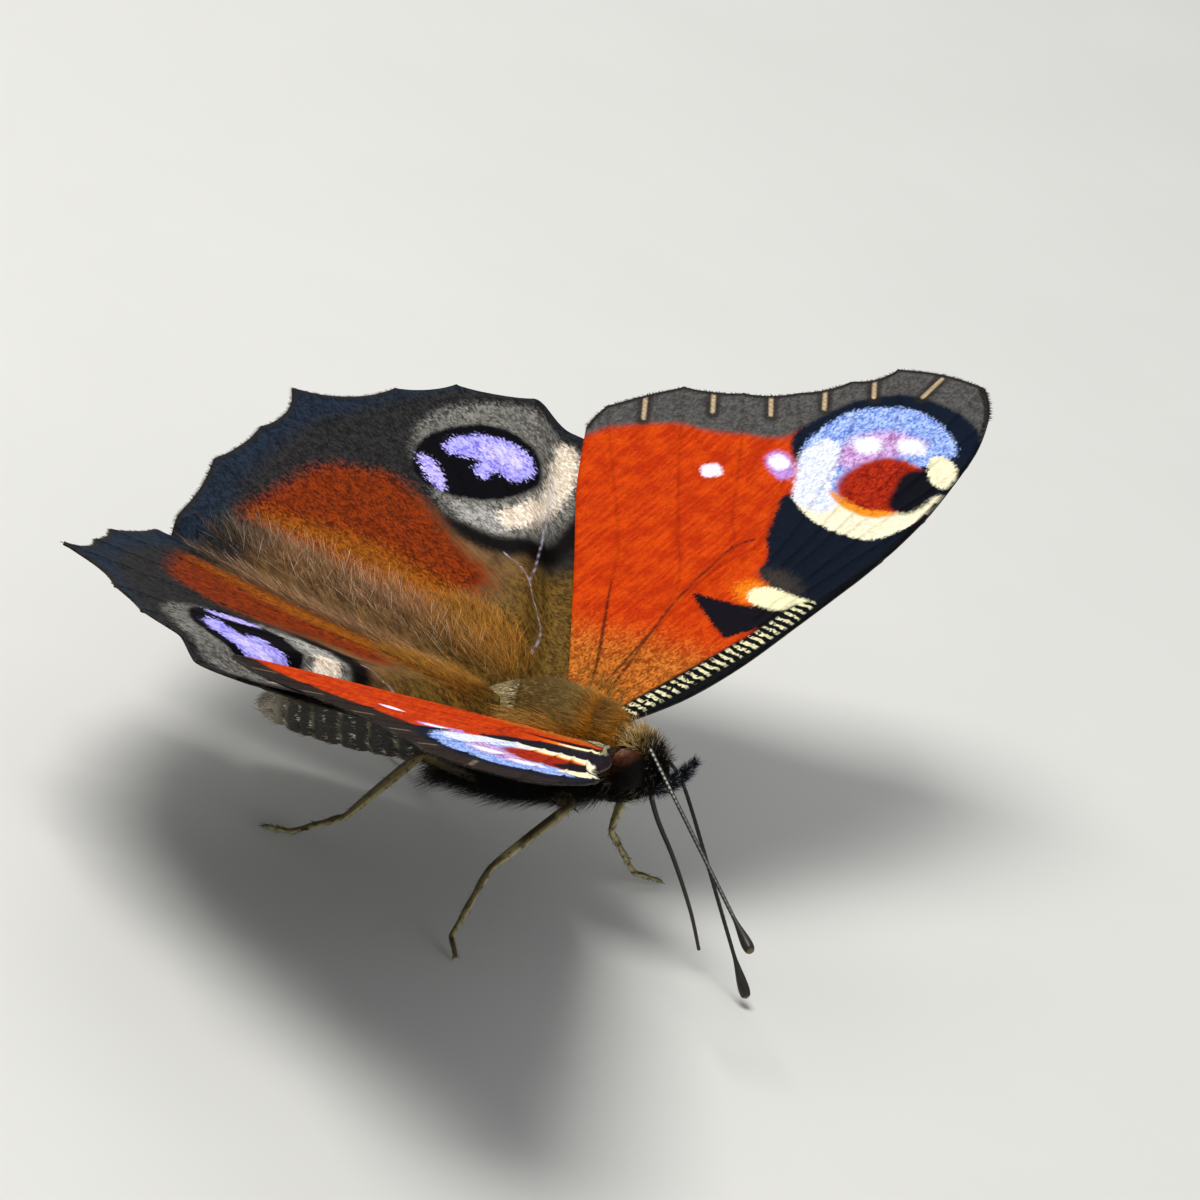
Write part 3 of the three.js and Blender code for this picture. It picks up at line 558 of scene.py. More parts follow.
# Markings of the upper sides. Each is painted over those before it: its outline on the wing's plane, its
# colour, how soft its edge is and how far single scales stray over it, all in millimetres.
OUTER_BAND = ("#42403e", "#5b5956")
# The right forewing's outer band is painted darker than the left's: painted shade where that band is turned
# from the light; on the live animal the two bands match.
SHADED_BAND = ("#1f1815", "#30251f")
FOREWING_MARKS = [
    ("root_gold", [
        (-1.5, -1.5), (4.6, -1.2), (5, 1), (4, 3.4), (3, 5.4), (-1.5, 4),
    ], ("#8a3f0f", "#cc7426"), 1.6, 1.2),
    ("outer_band", [
        (14.2, 13.4), (15.8, 12.5), (16.9, 11.5), (17.9, 10.2), (18.3, 8.9), (19, 7.4), (19.8, 6),
        (21, 5.4), (22.5, 4.6), (24, 3.6), (25, 2.2), (25.1, 0.5), (24.4, -0.5), (23.4, -1.5), (25.5, -2.5),
        (30, -1), (31, 3), (27, 8), (22, 13), (17, 17), (12, 16),
    ], OUTER_BAND, 0.3, 0.15),
    ("outer_rim", [
        (24, -2.2), (26.3, -1.3), (28.6, 0.6), (28.2, 3.2), (27.2, 5.4), (25.2, 6.3), (23, 7.7),
        (21.5, 9.7), (20, 12), (17, 14), (19, 16), (27, 12), (32, 3), (29, -3),
    ], "#3b3a3a", 0.3, 0.12),
    ("night_ring", [
        (18.9, 4.6), (20.2, 5.6), (21.9, 5.5), (23.6, 5.0), (25, 4.1), (25.9, 2.7), (25.9, 0.6),
        (25.2, -0.9), (23.6, -1.9), (21, -2.4), (19, -1), (20, 2), (18.5, 3.2),
    ], "#0b1626", 0.15, 0.15),
    ("great_patch", [
        (16.6, 3.4), (16.9, 2.2), (16.4, 0.4), (17, -1.4), (18.5, -2.9), (13.7, -3.2), (11, -2.9),
        (10.8, -1), (10.9, 0.1), (11.5, 1.1), (12.5, 1.4), (13.7, 2.3), (15.1, 2.9),
    ], "#0c1522", 0.12, 0.15),
    ("patch_smoke", [
        (10.9, -0.6), (11, 0.4), (11.6, 1), (12.1, 0.2), (11.8, -0.8), (11.2, -1.2),
    ], "#3a332f", 0.5, 0.2),
    ("lilac_arc", [
        (17.9, 3.2), (18.8, 4.2), (19.9, 4.8), (21.3, 4.95), (22.9, 4.7), (24.2, 3.8), (25, 2.2),
        (24.6, 0.5), (23.5, -0.9), (22, -0.4), (20, 1), (17.6, 1),
    ], ("#5c7bcf", "#b0c6f4"), 0.15, 0.15),
    ("pink_patch", [
        (20, 3.2), (21.5, 3.4), (22.8, 2.7), (23.3, 1.5), (23.1, 0.5), (21.6, 1.2), (19.8, 2.2),
    ], ("#b06fae", "#d3b4e2"), 0.4, 0.15),
    ("white_spot_1", [(21, 2.6), (21.6, 3.3), (22.3, 2.6), (21.7, 1.9)], "#f2f3ff", 0.25, 0.06),
    ("white_spot_2", [(22.1, 1.1), (22.7, 1.7), (23.3, 0.9), (22.6, 0.2)], "#f2f3ff", 0.25, 0.06),
    ("cream_moon", [
        (17.8, 3.4), (16.7, 3.05), (16.0, 2.0), (15.7, 0.4), (16.1, -1.3), (17.5, -2.1), (19.3, -2.4),
        (20.9, -2.4), (20, -1.6), (18.7, -1.3), (17.9, -0.6), (17.5, 0.6), (17.7, 1.8), (18.3, 2.5),
    ], "#f6eecb", 0.1, 0.1),
    ("white_horn", [
        (16.6, 2.9), (17.4, 3.5), (18.4, 4.1), (19.6, 4.6), (20.9, 4.4), (20.9, 3.6), (19.9, 3),
        (18.8, 2.4), (17.9, 1.9), (17.2, 1.2), (16.3, 1.6),
    ], ("#cdd6f5", "#f3f2fb"), 0.22, 0.12),
    ("maroon", [
        (17.7, 1.3), (18.5, 2.0), (19.5, 2.2), (20.6, 1.9), (21.6, 1.1), (21.6, -0.3), (20.8, -1.1),
        (19.7, -1.3), (18.5, -0.9), (17.8, -0.2), (17.6, 0.6),
    ], ("#86150a", "#b32e0b"), 0.22, 0.2),
    ("moon_gold", [
        (18, 2.0), (17.5, 1.3), (17.3, 0.4), (17.5, -0.6), (18.4, -1.35), (18.2, -0.7), (17.85, -0.1),
        (17.8, 0.7),
    ], "#ee8f22", 0.14, 0.1),
    ("eye_black", [
        (18.6, -0.7), (19.7, -0.2), (20.9, 0.1), (21.6, -0.5), (21.4, -1.6), (19.9, -1.9), (18.6, -1.6),
    ], "#0a0b14", 0.2, 0.15),
    ("cream_spot", [
        (22, -0.4), (22.7, -0.2), (22.9, -1), (22.1, -1.9), (21.1, -1.95), (21.1, -1.2),
    ], "#f5eec6", 0.12, 0.1),
    ("small_patch", [
        (8.5, 2.4), (8.8, 1.5), (9.2, 0.3), (10.1, -0.7), (10.3, -1.3), (9, -1.6), (7.7, -0.9), (6.9, -0.5),
        (7.1, 0), (7.6, 1),
    ], "#100c15", 0.1, 0.15),
    ("cream_fringe", [
        (9.4, 0.6), (10, 1.3), (10.8, 1), (10.9, 0.3), (10.2, -0.2), (9.5, 0),
    ], "#ee7c12", 0.35, 0.2),
    ("cream_costal", [
        (9.6, 0.3), (10.3, 0.6), (10.9, 0.1), (11, -1.2), (11.1, -1.9), (10.2, -1.6), (9.6, -0.8),
    ], "#f8f2c0", 0.14, 0.1),
    ("white_dot", [(15.5, 7), (16, 7.55), (16.6, 7.1), (16.1, 6.5)], "#f3e8fb", 0.12, 0.06),
    ("lilac_dot", [(17.3, 4.2), (18, 5.5), (18.9, 5.6), (18.9, 4.9), (18.1, 4)], "#c08fd8", 0.2, 0.12),
    ("lilac_heart", [(17.8, 4.8), (18.2, 5.5), (18.8, 5.3), (18.4, 4.4)], "#f2ecff", 0.15, 0.06),
]
HINDWING_MARKS = [
    ("root_olive", [
        (1, -1), (6, -4.5), (11, -8), (12.5, -5), (10, -2), (8, 0.5), (7.5, 5), (2, 4),
    ], ("#493416", "#785a24"), 1.2, 0.6),
    ("outer_dusk", [
        (15.4, -0.2), (16.6, 1.4), (16.9, 3.4), (16.4, 5.4), (15.6, 7.2), (14.6, 8.9), (13.6, 12), (19, 15),
        (24, 7), (26, 0), (24, -7), (20.5, -12.5), (15.5, -13.5), (10, -9.5), (9.6, -5.5), (10.4, -2.4),
        (12.3, -0.9), (14, -0.5),
    ], ("#17171a", "#302e2c"), 0.9, 0.4),
    ("outer_rim", [
        (21.4, 0.8), (20.4, 3.5), (19.2, 6), (17.4, 8.6), (15.6, 12), (19, 15), (25, 7), (27, 0), (25, -7),
        (21, -13), (15, -14), (15.5, -11.9), (18.8, -10.9), (20.6, -8.9), (21.4, -6.6), (21.5, -4.3),
        (21.5, -2),
    ], ("#131a24", "#232e3d"), 0.6, 0.25),
    ("orange_field", [
        (18.5, 1.6), (18.5, 3.2), (17.9, 5.3), (17.1, 7.5), (15.2, 6.9), (13.4, 6), (10.4, 4.6), (9.3, 2.4),
        (9, 0.4), (9.9, -0.4), (10.9, -0.4), (12.4, -0.4), (15, -0.7), (16.9, -0.5), (17.7, 0.4),
    ], ("#561e06", "#8b3205"), 0.6, 0.5),
    ("ochre_field", [
        (16.8, 7), (14, 5.6), (11, 4.6), (8, 4), (6, 3.4), (5.2, 2.2), (6, 1.2), (8, 1.4), (11, 2.4),
        (14, 3.9),
    ], ("#784008", "#9a560f"), 0.9, 0.7),
    ("pale_ring", [
        (15.4, -10.4), (13.6, -8.9), (11.8, -6.3), (11.1, -4.2), (11.6, -2.4), (12.9, -1.5), (14.7, -1.4),
        (16, -1.9), (18.6, -2.8), (20.1, -5.2), (19.9, -7.9), (18.9, -9.6), (17.3, -10.4),
    ], ("#474541", "#85827a"), 0.4, 0.2),
    ("ring_silver", [
        (14.3, -2), (13.2, -1.8), (12.2, -2.3), (11.9, -3.4), (12.7, -4), (13.6, -3.4), (14.1, -2.7),
    ], ("#7d7a76", "#b9b5ae"), 0.35, 0.2),
    ("cream_arc", [
        (12.2, -3.2), (12, -4.3), (12.5, -5.6), (13.2, -7), (14.2, -8.7), (15.3, -10), (16.4, -10.6),
        (17, -10.2), (15.9, -8.9), (14.6, -7.5), (13.6, -6.1), (13.3, -4.7), (13.2, -3.5),
    ], ("#d3bfa5", "#fff0dc"), 0.3, 0.2),
    ("black_bar", [
        (13.6, -0.9), (11.9, -1), (10.7, -2), (10.2, -4), (10.9, -6.3), (12.6, -8.4), (12.2, -6.9),
        (11.4, -5.2), (11.3, -3.6), (12, -2.2), (13.2, -1.5),
    ], "#0e0b0a", 0.35, 0.2),
    ("eyespot", [
        (17.4, -1.9), (18.6, -3.2), (19, -4.9), (18.7, -6.6), (17.9, -7.7), (16.4, -8), (15.1, -7.5),
        (14.2, -6.4), (13.9, -4.7), (14.3, -3.2), (15, -2.2), (16.1, -1.6),
    ], "#040308", 0.12, 0.15),
    ("blue_moon", [
        (17.9, -2.5), (17, -2.2), (16.2, -1.95), (15.4, -1.95), (15.6, -2.4), (16.5, -2.8), (17.5, -3),
    ], ("#8f86e6", "#cdbff6"), 0.12, 0.3),
    ("blue_patch", [
        (17.6, -3.9), (18.3, -4.6), (18.3, -5.7), (17.8, -6.7), (16.9, -7.4), (15.6, -7.4), (14.8, -6.6),
        (14.8, -5.6), (15.6, -5.1), (15.4, -4.4), (16.2, -4.4), (16.6, -5),
    ], ("#7a70e0", "#bdb6f8"), 0.12, 0.3),
    ("blue_heart", [
        (17.2, -5.6), (17.4, -6.4), (16.8, -7), (15.8, -7), (15.3, -6.4), (16, -5.9), (16.6, -5.7),
    ], ("#a9a4f4", "#d9ccfb"), 0.3, 0.2),
]


def scale_coat(s, u, v):
    """Shades of the single scales, fine grain, how far scales stray, and relief, over a wing's plane."""
    scales = s.nodes.new("ShaderNodeTexVoronoi")
    scales.voronoi_dimensions = "2D"
    scales.inputs["Scale"].default_value = 1.0
    s.links.new(s.flat(s.times(u, SCALE_ROWS[0]), s.times(v, SCALE_ROWS[1])), scales.inputs["Vector"])
    single = s.node("SeparateColor", Color=scales.outputs["Color"])
    fine = s.noise(9.0, 3.0, s.flat(u, v))
    stray = s.plus(s.minus(single, 0.5), s.times(s.minus(fine, 0.5), 1.6))
    relief = s.plus(s.times(scales.outputs["Distance"], 0.6), s.times(fine, 0.4))
    return single, fine, stray, relief


def paint_marks(s, paint, marks, stray, mottle):
    """Each mark over those before it, with a soft edge and stray scales."""
    for key, _, tint, softness, raggedness in marks:
        depth = s.plus(s.attribute(key), s.times(stray, raggedness))
        tint = s.mix(mottle, *tint) if isinstance(tint, tuple) else tint
        paint = s.mix(s.between(depth, -softness, softness), paint, tint)
    return paint


def paint_front_edge(s, paint, u, v, single, stray):
    """The black front edge of a forewing, with its short pale bars."""
    wander = s.noise(1.0, 2.0, s.flat(s.times(u, 2.5), s.times(v, 1.6)))
    bars = s.math("SINE", s.plus(s.times(u, 14.0), s.times(wander, 4.5)))
    bars = s.plus(bars, s.times(stray, 0.5))
    paint = s.mix(s.between(s.attribute("costal_strip"), -0.12, 0.12), paint, "#0c0f11")
    lit = s.times(s.between(bars, -0.1, 0.4), s.between(s.attribute("bar_strip"), -0.05, 0.12))
    paint = s.mix(s.times(lit, s.between(single, 0.0, 0.4)), paint, "#e3dcae")
    return s.mix(s.between(s.attribute("costal_edge"), -0.08, 0.1), paint, "#0a0d12")


def paint_veins(s, paint, streak_tint):
    """Dark and pale streaks between the veins, the veins themselves and the dark margin."""
    for key, low, high, share, tint in (("streaks", -0.15, 0.1, 0.75, "#26211e"),
                                        ("pale_streaks", -0.06, 0.06, 0.9, streak_tint),
                                        ("dark_veins", -0.05, 0.05, 0.8, "#3a160a")):
        paint = s.mix(s.between(s.attribute(key), low, high, share), paint, tint)
    vein = s.rest(s.between(s.attribute("vein"), 0.02, 0.13))
    paint = s.mix(s.times(vein, 0.22), paint, s.mix(1.0, paint, "#8a5a48", "MULTIPLY"))
    return s.mix(s.rest(s.between(s.attribute("edge"), 0.08, 0.3)), paint, "#262321")


def wing_material(name, marks, base, streak_tint, stripes=False):
    """The upper side's colours: markings in ragged rows of scales, veins, bars and shine."""
    s = Shader(name, Roughness=0.6, Specular_IOR_Level=0.02)
    u, v = s.attribute("wing_u"), s.attribute("wing_v")
    place = s.flat(u, v)
    single, fine, stray, relief = scale_coat(s, u, v)
    rays = s.noise(1.0, 3.0, s.flat(s.times(u, 0.5), s.times(v, 5.0)))
    mottle = s.between(s.plus(s.noise(2.2, 3.0, place), s.times(stray, 0.36)), 0.2, 0.8)
    ground = s.between(s.plus(s.noise(0.9, 4.0, place), s.minus(rays, 0.5)), 0.3, 0.75)
    paint = paint_marks(s, s.mix(ground, *base), marks, stray, mottle)
    if stripes:
        paint = paint_front_edge(s, paint, u, v, single, stray)
    paint = paint_veins(s, paint, streak_tint)
    shade = s.times(s.plus(0.86, s.times(single, 0.28)), s.plus(0.9, s.times(fine, 0.2)))
    s.set_shaded(paint, shade)
    s.bump(relief, 0.00002, 0.5)
    return s.material


def underside_material():
    """The dark underside: fine darker waves across a black-brown ground."""
    s = Shader("wing_underside", Roughness=0.6, Specular_IOR_Level=0.1)
    place = s.flat(s.attribute("wing_u"), s.attribute("wing_v"))
    waves = s.node("TexWave", "Fac", Scale=0.55, Distortion=6.0, Detail=3.0, Vector=place)
    cloud, fine = s.noise(0.35, 4.0, place), s.noise(6.0, 2.0, place)
    paint = s.mix(waves, "#100d0c", "#2c251f")
    paint = s.mix(s.between(cloud, 0.45, 0.7, 0.6), paint, "#3d352c")
    s.set("Base Color", s.mix(s.between(fine, 0.55, 0.75, 0.5), paint, "#5a4f40"))
    s.bump(fine, 0.00003, 0.5)
    return s.material


def mark_depths(places, marks):
    return {key: area_depth(places, closed_spline(ring)) for key, ring, *_ in marks}


def forewing_layers(places):
    """Depths inside the forewing's markings, its front strip and bars, and the margin's streaks."""
    u = places[:, 0]
    depths = mark_depths(places, FOREWING_MARKS)
    depths["costal_strip"] = area_depth(places, closed_spline(FRONT_STRIP))
    depths["bar_strip"] = 0.42 - line_distance(places, spline(FRONT_BARS, LINE_POINTS))
    front = line_distance(places, spline(FRONT_EDGE, LINE_POINTS))
    depths["costal_edge"] = 0.3 - 0.2 * smooth((u - 14) / 8) - front
    dark, pale = [], []
    for vein, after in zip(FOREWING_VEINS[5:11], FOREWING_VEINS[6:12]):
        line = spline(vein, LINE_POINTS)
        middle = (line[-1] + after[-1]) / 2
        inward = unit(line[50] - line[-1])
        pale.append(0.09 - line_distance(places, np.array([middle - inward * 0.1, middle + inward * 1.6])))
        dark.append(0.3 - line_distance(places, np.array([middle, middle + inward * 1.7])))
    depths["streaks"], depths["pale_streaks"] = np.max(dark, axis=0), np.max(pale, axis=0)
    trunk, rear, root = (line_distance(places, spline(line, count)) for line, count in DARK_VEINS)
    depths["dark_veins"] = 0.07 - np.min([trunk, rear + smooth((u - 4) / 6) * 0.08, root], axis=0)
    return depths


def hindwing_layers(places):
    """Depths inside the hindwing's markings and its pale vein."""
    depths = mark_depths(places, HINDWING_MARKS)
    gaps = [line_distance(places, spline(line, count)) for line, count in PALE_VEIN]
    depths["pale_streaks"] = 0.035 - np.min(gaps, axis=0)
    depths["streaks"] = depths["dark_veins"] = np.full(len(places), -1.0)
    return depths


# Lines and areas on the wings' planes: the forewing's front edge and dark veins, the hindwing's pale vein
FRONT_STRIP = [(-0.8, 0.3), (1.2, 0.1), (4.8, -0.6), (7.3, -1.1), (10.6, -1.5), (11, -2.6), (8, -3.2),
               (3, -2.6), (-0.5, -1.6)]
FRONT_BARS = [(0.2, -0.2), (2.6, -0.75), (5, -1.2), (7.5, -1.6), (10.8, -1.95)]
FRONT_EDGE = [(10, -2.45), (13, -2.55), (15.4, -2.6), (18.8, -2.4), (23.2, -1.65), (26.3, -0.5), (28, 1)]
DARK_VEINS = [
    ([(0.5, 1.2), (2.1, 1.5), (5.5, 2.3), (8.3, 2.8), (11.9, 3), (13.2, 2.6)], 60),
    ([(0.4, 2), (1.8, 2.6), (6, 5.1), (9.6, 7.3)], 60),
    ([(0.3, 1.6), (3, 1.95), (5.5, 2.3)], 30),
]
PALE_VEIN = [
    ([(5.4, 0.4), (6.8, -1.3), (8.8, -2.0), (9.8, -3.1), (11.8, -5.2), (13.4, -6.8), (15.2, -8.5)], 50),
    ([(8.8, -2.0), (9.9, -2.1), (10.8, -2.0)], 20),
]


# The right forewing's marks: the same, with its outer band in painted shade.
SHADED_MARKS = [(key, ring, SHADED_BAND if key == "outer_band" else tint, *edge)
                for key, ring, tint, *edge in FOREWING_MARKS]
FOREWING_RED = ("#b52c00", "#d24402")
FOREWING_TOP = {
    1: wing_material("forewing_left_top", FOREWING_MARKS, FOREWING_RED, "#cfb48c", stripes=True),
    # The right forewing's pale streaks are painted duller than the left's: painted shade.
    -1: wing_material("forewing_right_top", SHADED_MARKS, FOREWING_RED, "#7d6a52", stripes=True),
}
HINDWING_TOP = wing_material("hindwing_top", HINDWING_MARKS, ("#5e442a", "#85643e"), "#d3c6dc")
WING_UNDERSIDE = underside_material()

for side in SIDES:
    make_wing(FORE, side, forewing_layers, [FOREWING_TOP[side], WING_UNDERSIDE])
    make_wing(HIND, side, hindwing_layers, [HINDWING_TOP, WING_UNDERSIDE])


# Body: one skin from the tip of the abdomen to the front of the head, as (x, top, bottom, half width)
THORAX_SECTIONS = [(-6.7, -1.2, -1.9, 0), (-6.3, -0.3, -2.5, 0.8), (-5.1, 1.0, -2.85, 1.6),
                   (-2.6, 1.75, -3, 2.1), (-0.8, 1.4, -2.95, 1.95), (0.3, 0.65, -2.6, 1.2),
                   (0.8, -0.5, -1.9, 0)]
HEAD_SECTIONS = [(0.5, -0.8, -1.8, 0), (0.95, -0.2, -2.3, 0.85), (1.7, 0.05, -2.45, 1.2),
                 (2.4, -0.35, -2.4, 0.95), (2.95, -1.1, -1.8, 0)]
HEAD_FRONT = 2.9
NECK = (0.0, 1.3, -0.4, -2.45, 0.95)
ABDOMEN_FRONT = -6.2
ABDOMEN_TIP = -15.3
ABDOMEN_HEIGHT = -1.43
ABDOMEN_RADIUS = 1.38
ABDOMEN_SEGMENTS = 7
SEGMENT_STEP = 0.12
BODY_REAR = -15.2
EYE_MIDDLE = np.array([1.55, 1.08, -1.22])
EYE_SIZE = np.array([0.78, 0.68, 0.9])
SKIN_DEPTH = 0.05
SKIN_ROWS = 300
SKIN_AROUND = 72


def abdomen_share(x):
    """0 where the abdomen starts and 1 at its tip."""
    return (ABDOMEN_FRONT - x) / (ABDOMEN_FRONT - ABDOMEN_TIP)


def abdomen_radius(x):
    share = np.clip(abdomen_share(x), -0.1, 1)
    fullness = np.maximum(0, 1 - ((share - 0.3) / 0.72) ** 2) ** 0.45
    part = (share * ABDOMEN_SEGMENTS) % 1
    step = SEGMENT_STEP * (1 - smooth(part / 0.3)) * (share > 0.05)
    return np.maximum(ABDOMEN_RADIUS * fullness - step, 0.12)


def body_profile(x):
    """Top, bottom and half width of the skin at each x."""
    radius = abdomen_radius(x)
    behind = x < ABDOMEN_FRONT + 0.8
    neck = (x > NECK[0]) & (x < NECK[1])
    parts = [(behind, ABDOMEN_HEIGHT + radius, ABDOMEN_HEIGHT - radius, radius * 0.95), (neck, *NECK[2:])]
    for sections in (THORAX_SECTIONS, HEAD_SECTIONS):
        line = spline(sections, SECTION_POINTS)
        inside = (x >= line[0, 0]) & (x <= line[-1, 0])
        parts.append((inside, *(np.interp(x, line[:, 0], line[:, k]) for k in (1, 2, 3))))
    top = np.max([np.where(inside, high, -9) for inside, high, _, _ in parts], 0)
    bottom = np.min([np.where(inside, low, 9) for inside, _, low, _ in parts], 0)
    half = np.max([np.where(inside, width, 0) for inside, _, _, width in parts], 0)
    padded = (np.pad(line, 2, "edge") for line in (top, bottom, half))
    top, bottom, half = (np.convolve(line, np.ones(5) / 5, "valid") for line in padded)
    return top - SKIN_DEPTH, bottom + SKIN_DEPTH, np.maximum(half - SKIN_DEPTH, 0.02)


SKIN_X = np.linspace(ABDOMEN_TIP + 0.02, HEAD_SECTIONS[-1][0] - 0.02, SKIN_ROWS)
SKIN_TOP, SKIN_BOTTOM, SKIN_HALF = body_profile(SKIN_X)


def skin_points(x, angle):
    """Places on the skin: x along the body, and the angle from the top over the left side."""
    top, bottom, half = (np.interp(x, SKIN_X, line) for line in (SKIN_TOP, SKIN_BOTTOM, SKIN_HALF))
    return columns(x, half * np.sin(angle), (top + bottom) / 2 + (top - bottom) / 2 * np.cos(angle))


def skin_frames(x, angle):
    """Place, outward normal, forward and sideways directions on the skin."""
    ahead, behind = np.minimum(x + 0.15, HEAD_FRONT), np.maximum(x - 0.15, BODY_REAR)
    forward = unit(skin_points(ahead, angle) - skin_points(behind, angle))
    sideways = unit(skin_points(x, angle + 0.02) - skin_points(x, angle - 0.02))
    return skin_points(x, angle), unit(np.cross(forward, sideways)), forward, sideways


def skin_map(x, angle):
    """The skin's own unwrap, from 0 to 1 along and round the body."""
    along = (x - ABDOMEN_TIP) / (HEAD_SECTIONS[-1][0] - ABDOMEN_TIP)
    around = (angle / (2 * math.pi)) % 1.0
    return columns(0.01 + 0.98 * along, 0.01 + 0.98 * around)


def blend(share, first, second):
    """A mix of two colours at each place. A colour may be a #rrggbb text or the name of one of the body's."""
    first, second = (colour(BODY_COLOURS.get(c, c)) if isinstance(c, str) else c for c in (first, second))
    return first + (second - first) * np.asarray(share)[:, None]


def body_tint(x, angle):
    """The markings of the skin and its coat, and a painted sheen with flecks of glint on the scutellum."""
    down = away_from_top(angle)
    belly = smooth((down - 1.45) / 0.5)
    thorax = blend(smooth((down - 0.75) / 0.5), "thorax_top", "thorax_side")
    thorax = blend(smooth((x + 0.8) / 1.1) * 0.75, thorax, "collar")
    thorax = blend(belly, thorax, "belly")
    behind = -3.65 + 0.25 * down - x
    # The scutellum's pale patch and its flecks are painted sheen and glints.
    scutellum_sheen = smooth(behind / 0.15) * smooth((1.1 - down) / 0.4) * smooth((x + 6) / 0.8)
    groove = np.exp(-((behind / 0.1) ** 2)) * (down < 1.2)
    thorax = blend(scutellum_sheen * (0.6 + 0.2 * np.sin(x * 9) * np.sin(angle * 11)), thorax, "scutellum_sheen")
    thorax = blend(groove * 0.7, thorax, "groove")
    part = (np.clip(abdomen_share(x), 0, 1) * ABDOMEN_SEGMENTS) % 1
    abdomen = blend(smooth((1.0 - down) / 0.6), "abdomen_side", "abdomen_top")
    abdomen = blend(smooth((down - 2.2) / 0.4), abdomen, "abdomen_belly")
    broken = 0.35 + 0.3 * np.sin(angle * 7 + x * 2) + 0.2 * np.sin(angle * 13 - x * 3)
    edges = smooth((part - 0.78) / 0.12) * smooth((down - 0.6) / 0.4)
    abdomen = blend(edges * broken, abdomen, "segment_edge")
    abdomen = blend(smooth((-13.6 - x) / 1.0) * 0.8, abdomen, "abdomen_tip")
    head = blend(smooth((1.7 - x) / 0.9) * (1 - belly), "head", "nape")
    body = blend(smooth((-5.9 - x) / 0.6), thorax, abdomen)
    return blend(smooth((x - 0.35) / 0.4), body, head)


BODY_COLOURS = {
    "scutellum_sheen": "#dccb9a", "thorax_top": "#7b6131", "thorax_side": "#7d6428", "collar": "#94590c",
    "belly": "#100d0b", "groove": "#2c2210", "head": "#15110e", "nape": "#4a3518",
    "abdomen_side": "#504f4a", "abdomen_top": "#6a5a45",
    "abdomen_belly": "#5b4a45", "segment_edge": "#b5a888", "abdomen_tip": "#c9bda6",
}


def skin_material():
    s = Shader("skin", Roughness=0.6, Specular_IOR_Level=0.1)
    fine, streak = s.noise(2500.0, 4.0), s.noise(700.0, 3.0)
    s.set_shaded(s.attribute("tint", "Color"), s.plus(0.65, s.times(fine, 0.7)))
    s.bump(s.plus(fine, streak), 0.00005, 0.7)
    return s.material


def make_skin():
    """The skin from the tip of the abdomen to the front of the head, with its markings and a painted sheen on
    the scutellum.
    """
    x, angle = grid(SKIN_X, np.linspace(0, 2 * math.pi, SKIN_AROUND, endpoint=False))
    points = skin_points(x, angle)
    first = points[:SKIN_AROUND].mean(0) - (0.08, 0, 0)
    last = points[-SKIN_AROUND:].mean(0) + (0.08, 0, 0)
    points = np.concatenate([points, [first, last]])
    faces = ringed_faces(SKIN_ROWS, SKIN_AROUND)[:, ::-1]
    skin = new_piece("body_skin", points, faces, [skin_material()],
                     replaces=["thorax", "head", "abdomen"])
    ends = body_tint(np.array([BODY_REAR, HEAD_FRONT]), np.zeros(2))
    add_colours(skin, "tint", np.concatenate([body_tint(x, angle), ends]))


# Coat
RANDOM = np.random.default_rng(7)


def hair_material(name, lift=1.35):
    """Hair darkened at its root by painted shade, where shade falls in the coat, and brightened toward its
    tip by lift, partly paler tips and partly painted light. It takes its colour from where it grows, and
    varies a little.
    """
    s = Shader(name, Roughness=0.5, Specular_IOR_Level=0.12)
    # Painted shade at the root and painted light toward the tip, set by lift
    rise = s.plus(0.5, s.times(s.attribute("along"), lift - 0.5))
    shade = s.times(rise, s.plus(0.75, s.times(s.noise(1800.0, 2.0), 0.5)))
    s.set_shaded(s.attribute("tint", "Color"), shade)
    return s.material


def vary(values, amount):
    return values * (1 + amount * (RANDOM.random(len(values)) - 0.5) * 2)


def make_tufts(name, roots, normals, lies, lengths, widths, tilts, tints, places, material, slot, bend=0.5,
               rings=3, sink=0.05):
    """Thin tapered locks, each rising from its root at its tilt, bending back along its lie, as one mesh."""
    count = len(roots)
    lies = unit(lies - np.einsum("ij,ij->i", lies, normals)[:, None] * normals)
    across = unit(np.cross(normals, lies))
    lies = unit(lies + across * centred(count) * 0.5)
    start = roots - normals * sink
    step = lengths[:, None] * 0.5
    knee = start + (np.cos(tilts)[:, None] * lies + np.sin(tilts)[:, None] * normals) * step
    fall = tilts * (1 - bend)
    end = knee + (np.cos(fall)[:, None] * lies + np.sin(fall)[:, None] * normals) * step
    end = end + across * centred(count) * step * 0.5
    points, along = [], np.repeat(np.arange(rings) / rings, 3)
    for share in along[::3]:
        centre = start * (1 - share) ** 2 + knee * 2 * share * (1 - share) + end * share**2
        half = (widths * (1 - share**1.6) * 0.5)[:, None]
        points += [centre + across * half, centre - across * half, centre + normals * half * 0.7]
    points = np.stack([*points, end], 1)
    along = np.append(along, 1.0)
    tip = 3 * rings
    faces = [(0, 1, 2)] + [(tip - 3 + j, tip, tip - 3 + (j + 1) % 3) for j in range(3)]
    for a in range(tip - 3):
        b = a - a % 3 + (a + 1) % 3
        faces += [(a, a + 3, b), (b, a + 3, b + 3)]
    faces = np.arange(count)[:, None, None] * (tip + 1) + np.array(faces)
    piece = new_piece(name, points.reshape(-1, 3), faces.reshape(-1, 3), [material])
    add_values(piece, "along", np.tile(along, count))
    add_colours(piece, "tint", np.repeat(tints, tip + 1, 0))
    corner = columns((np.arange(tip + 1) % 3 - 1) * 0.5, along - 0.5) * BAKE_PATCH
    add_bake_map(piece, np.clip((places[:, None] + corner).reshape(-1, 2), 0.0, 1.0))


def centred(count):
    return RANDOM.random(count)[:, None] - 0.5


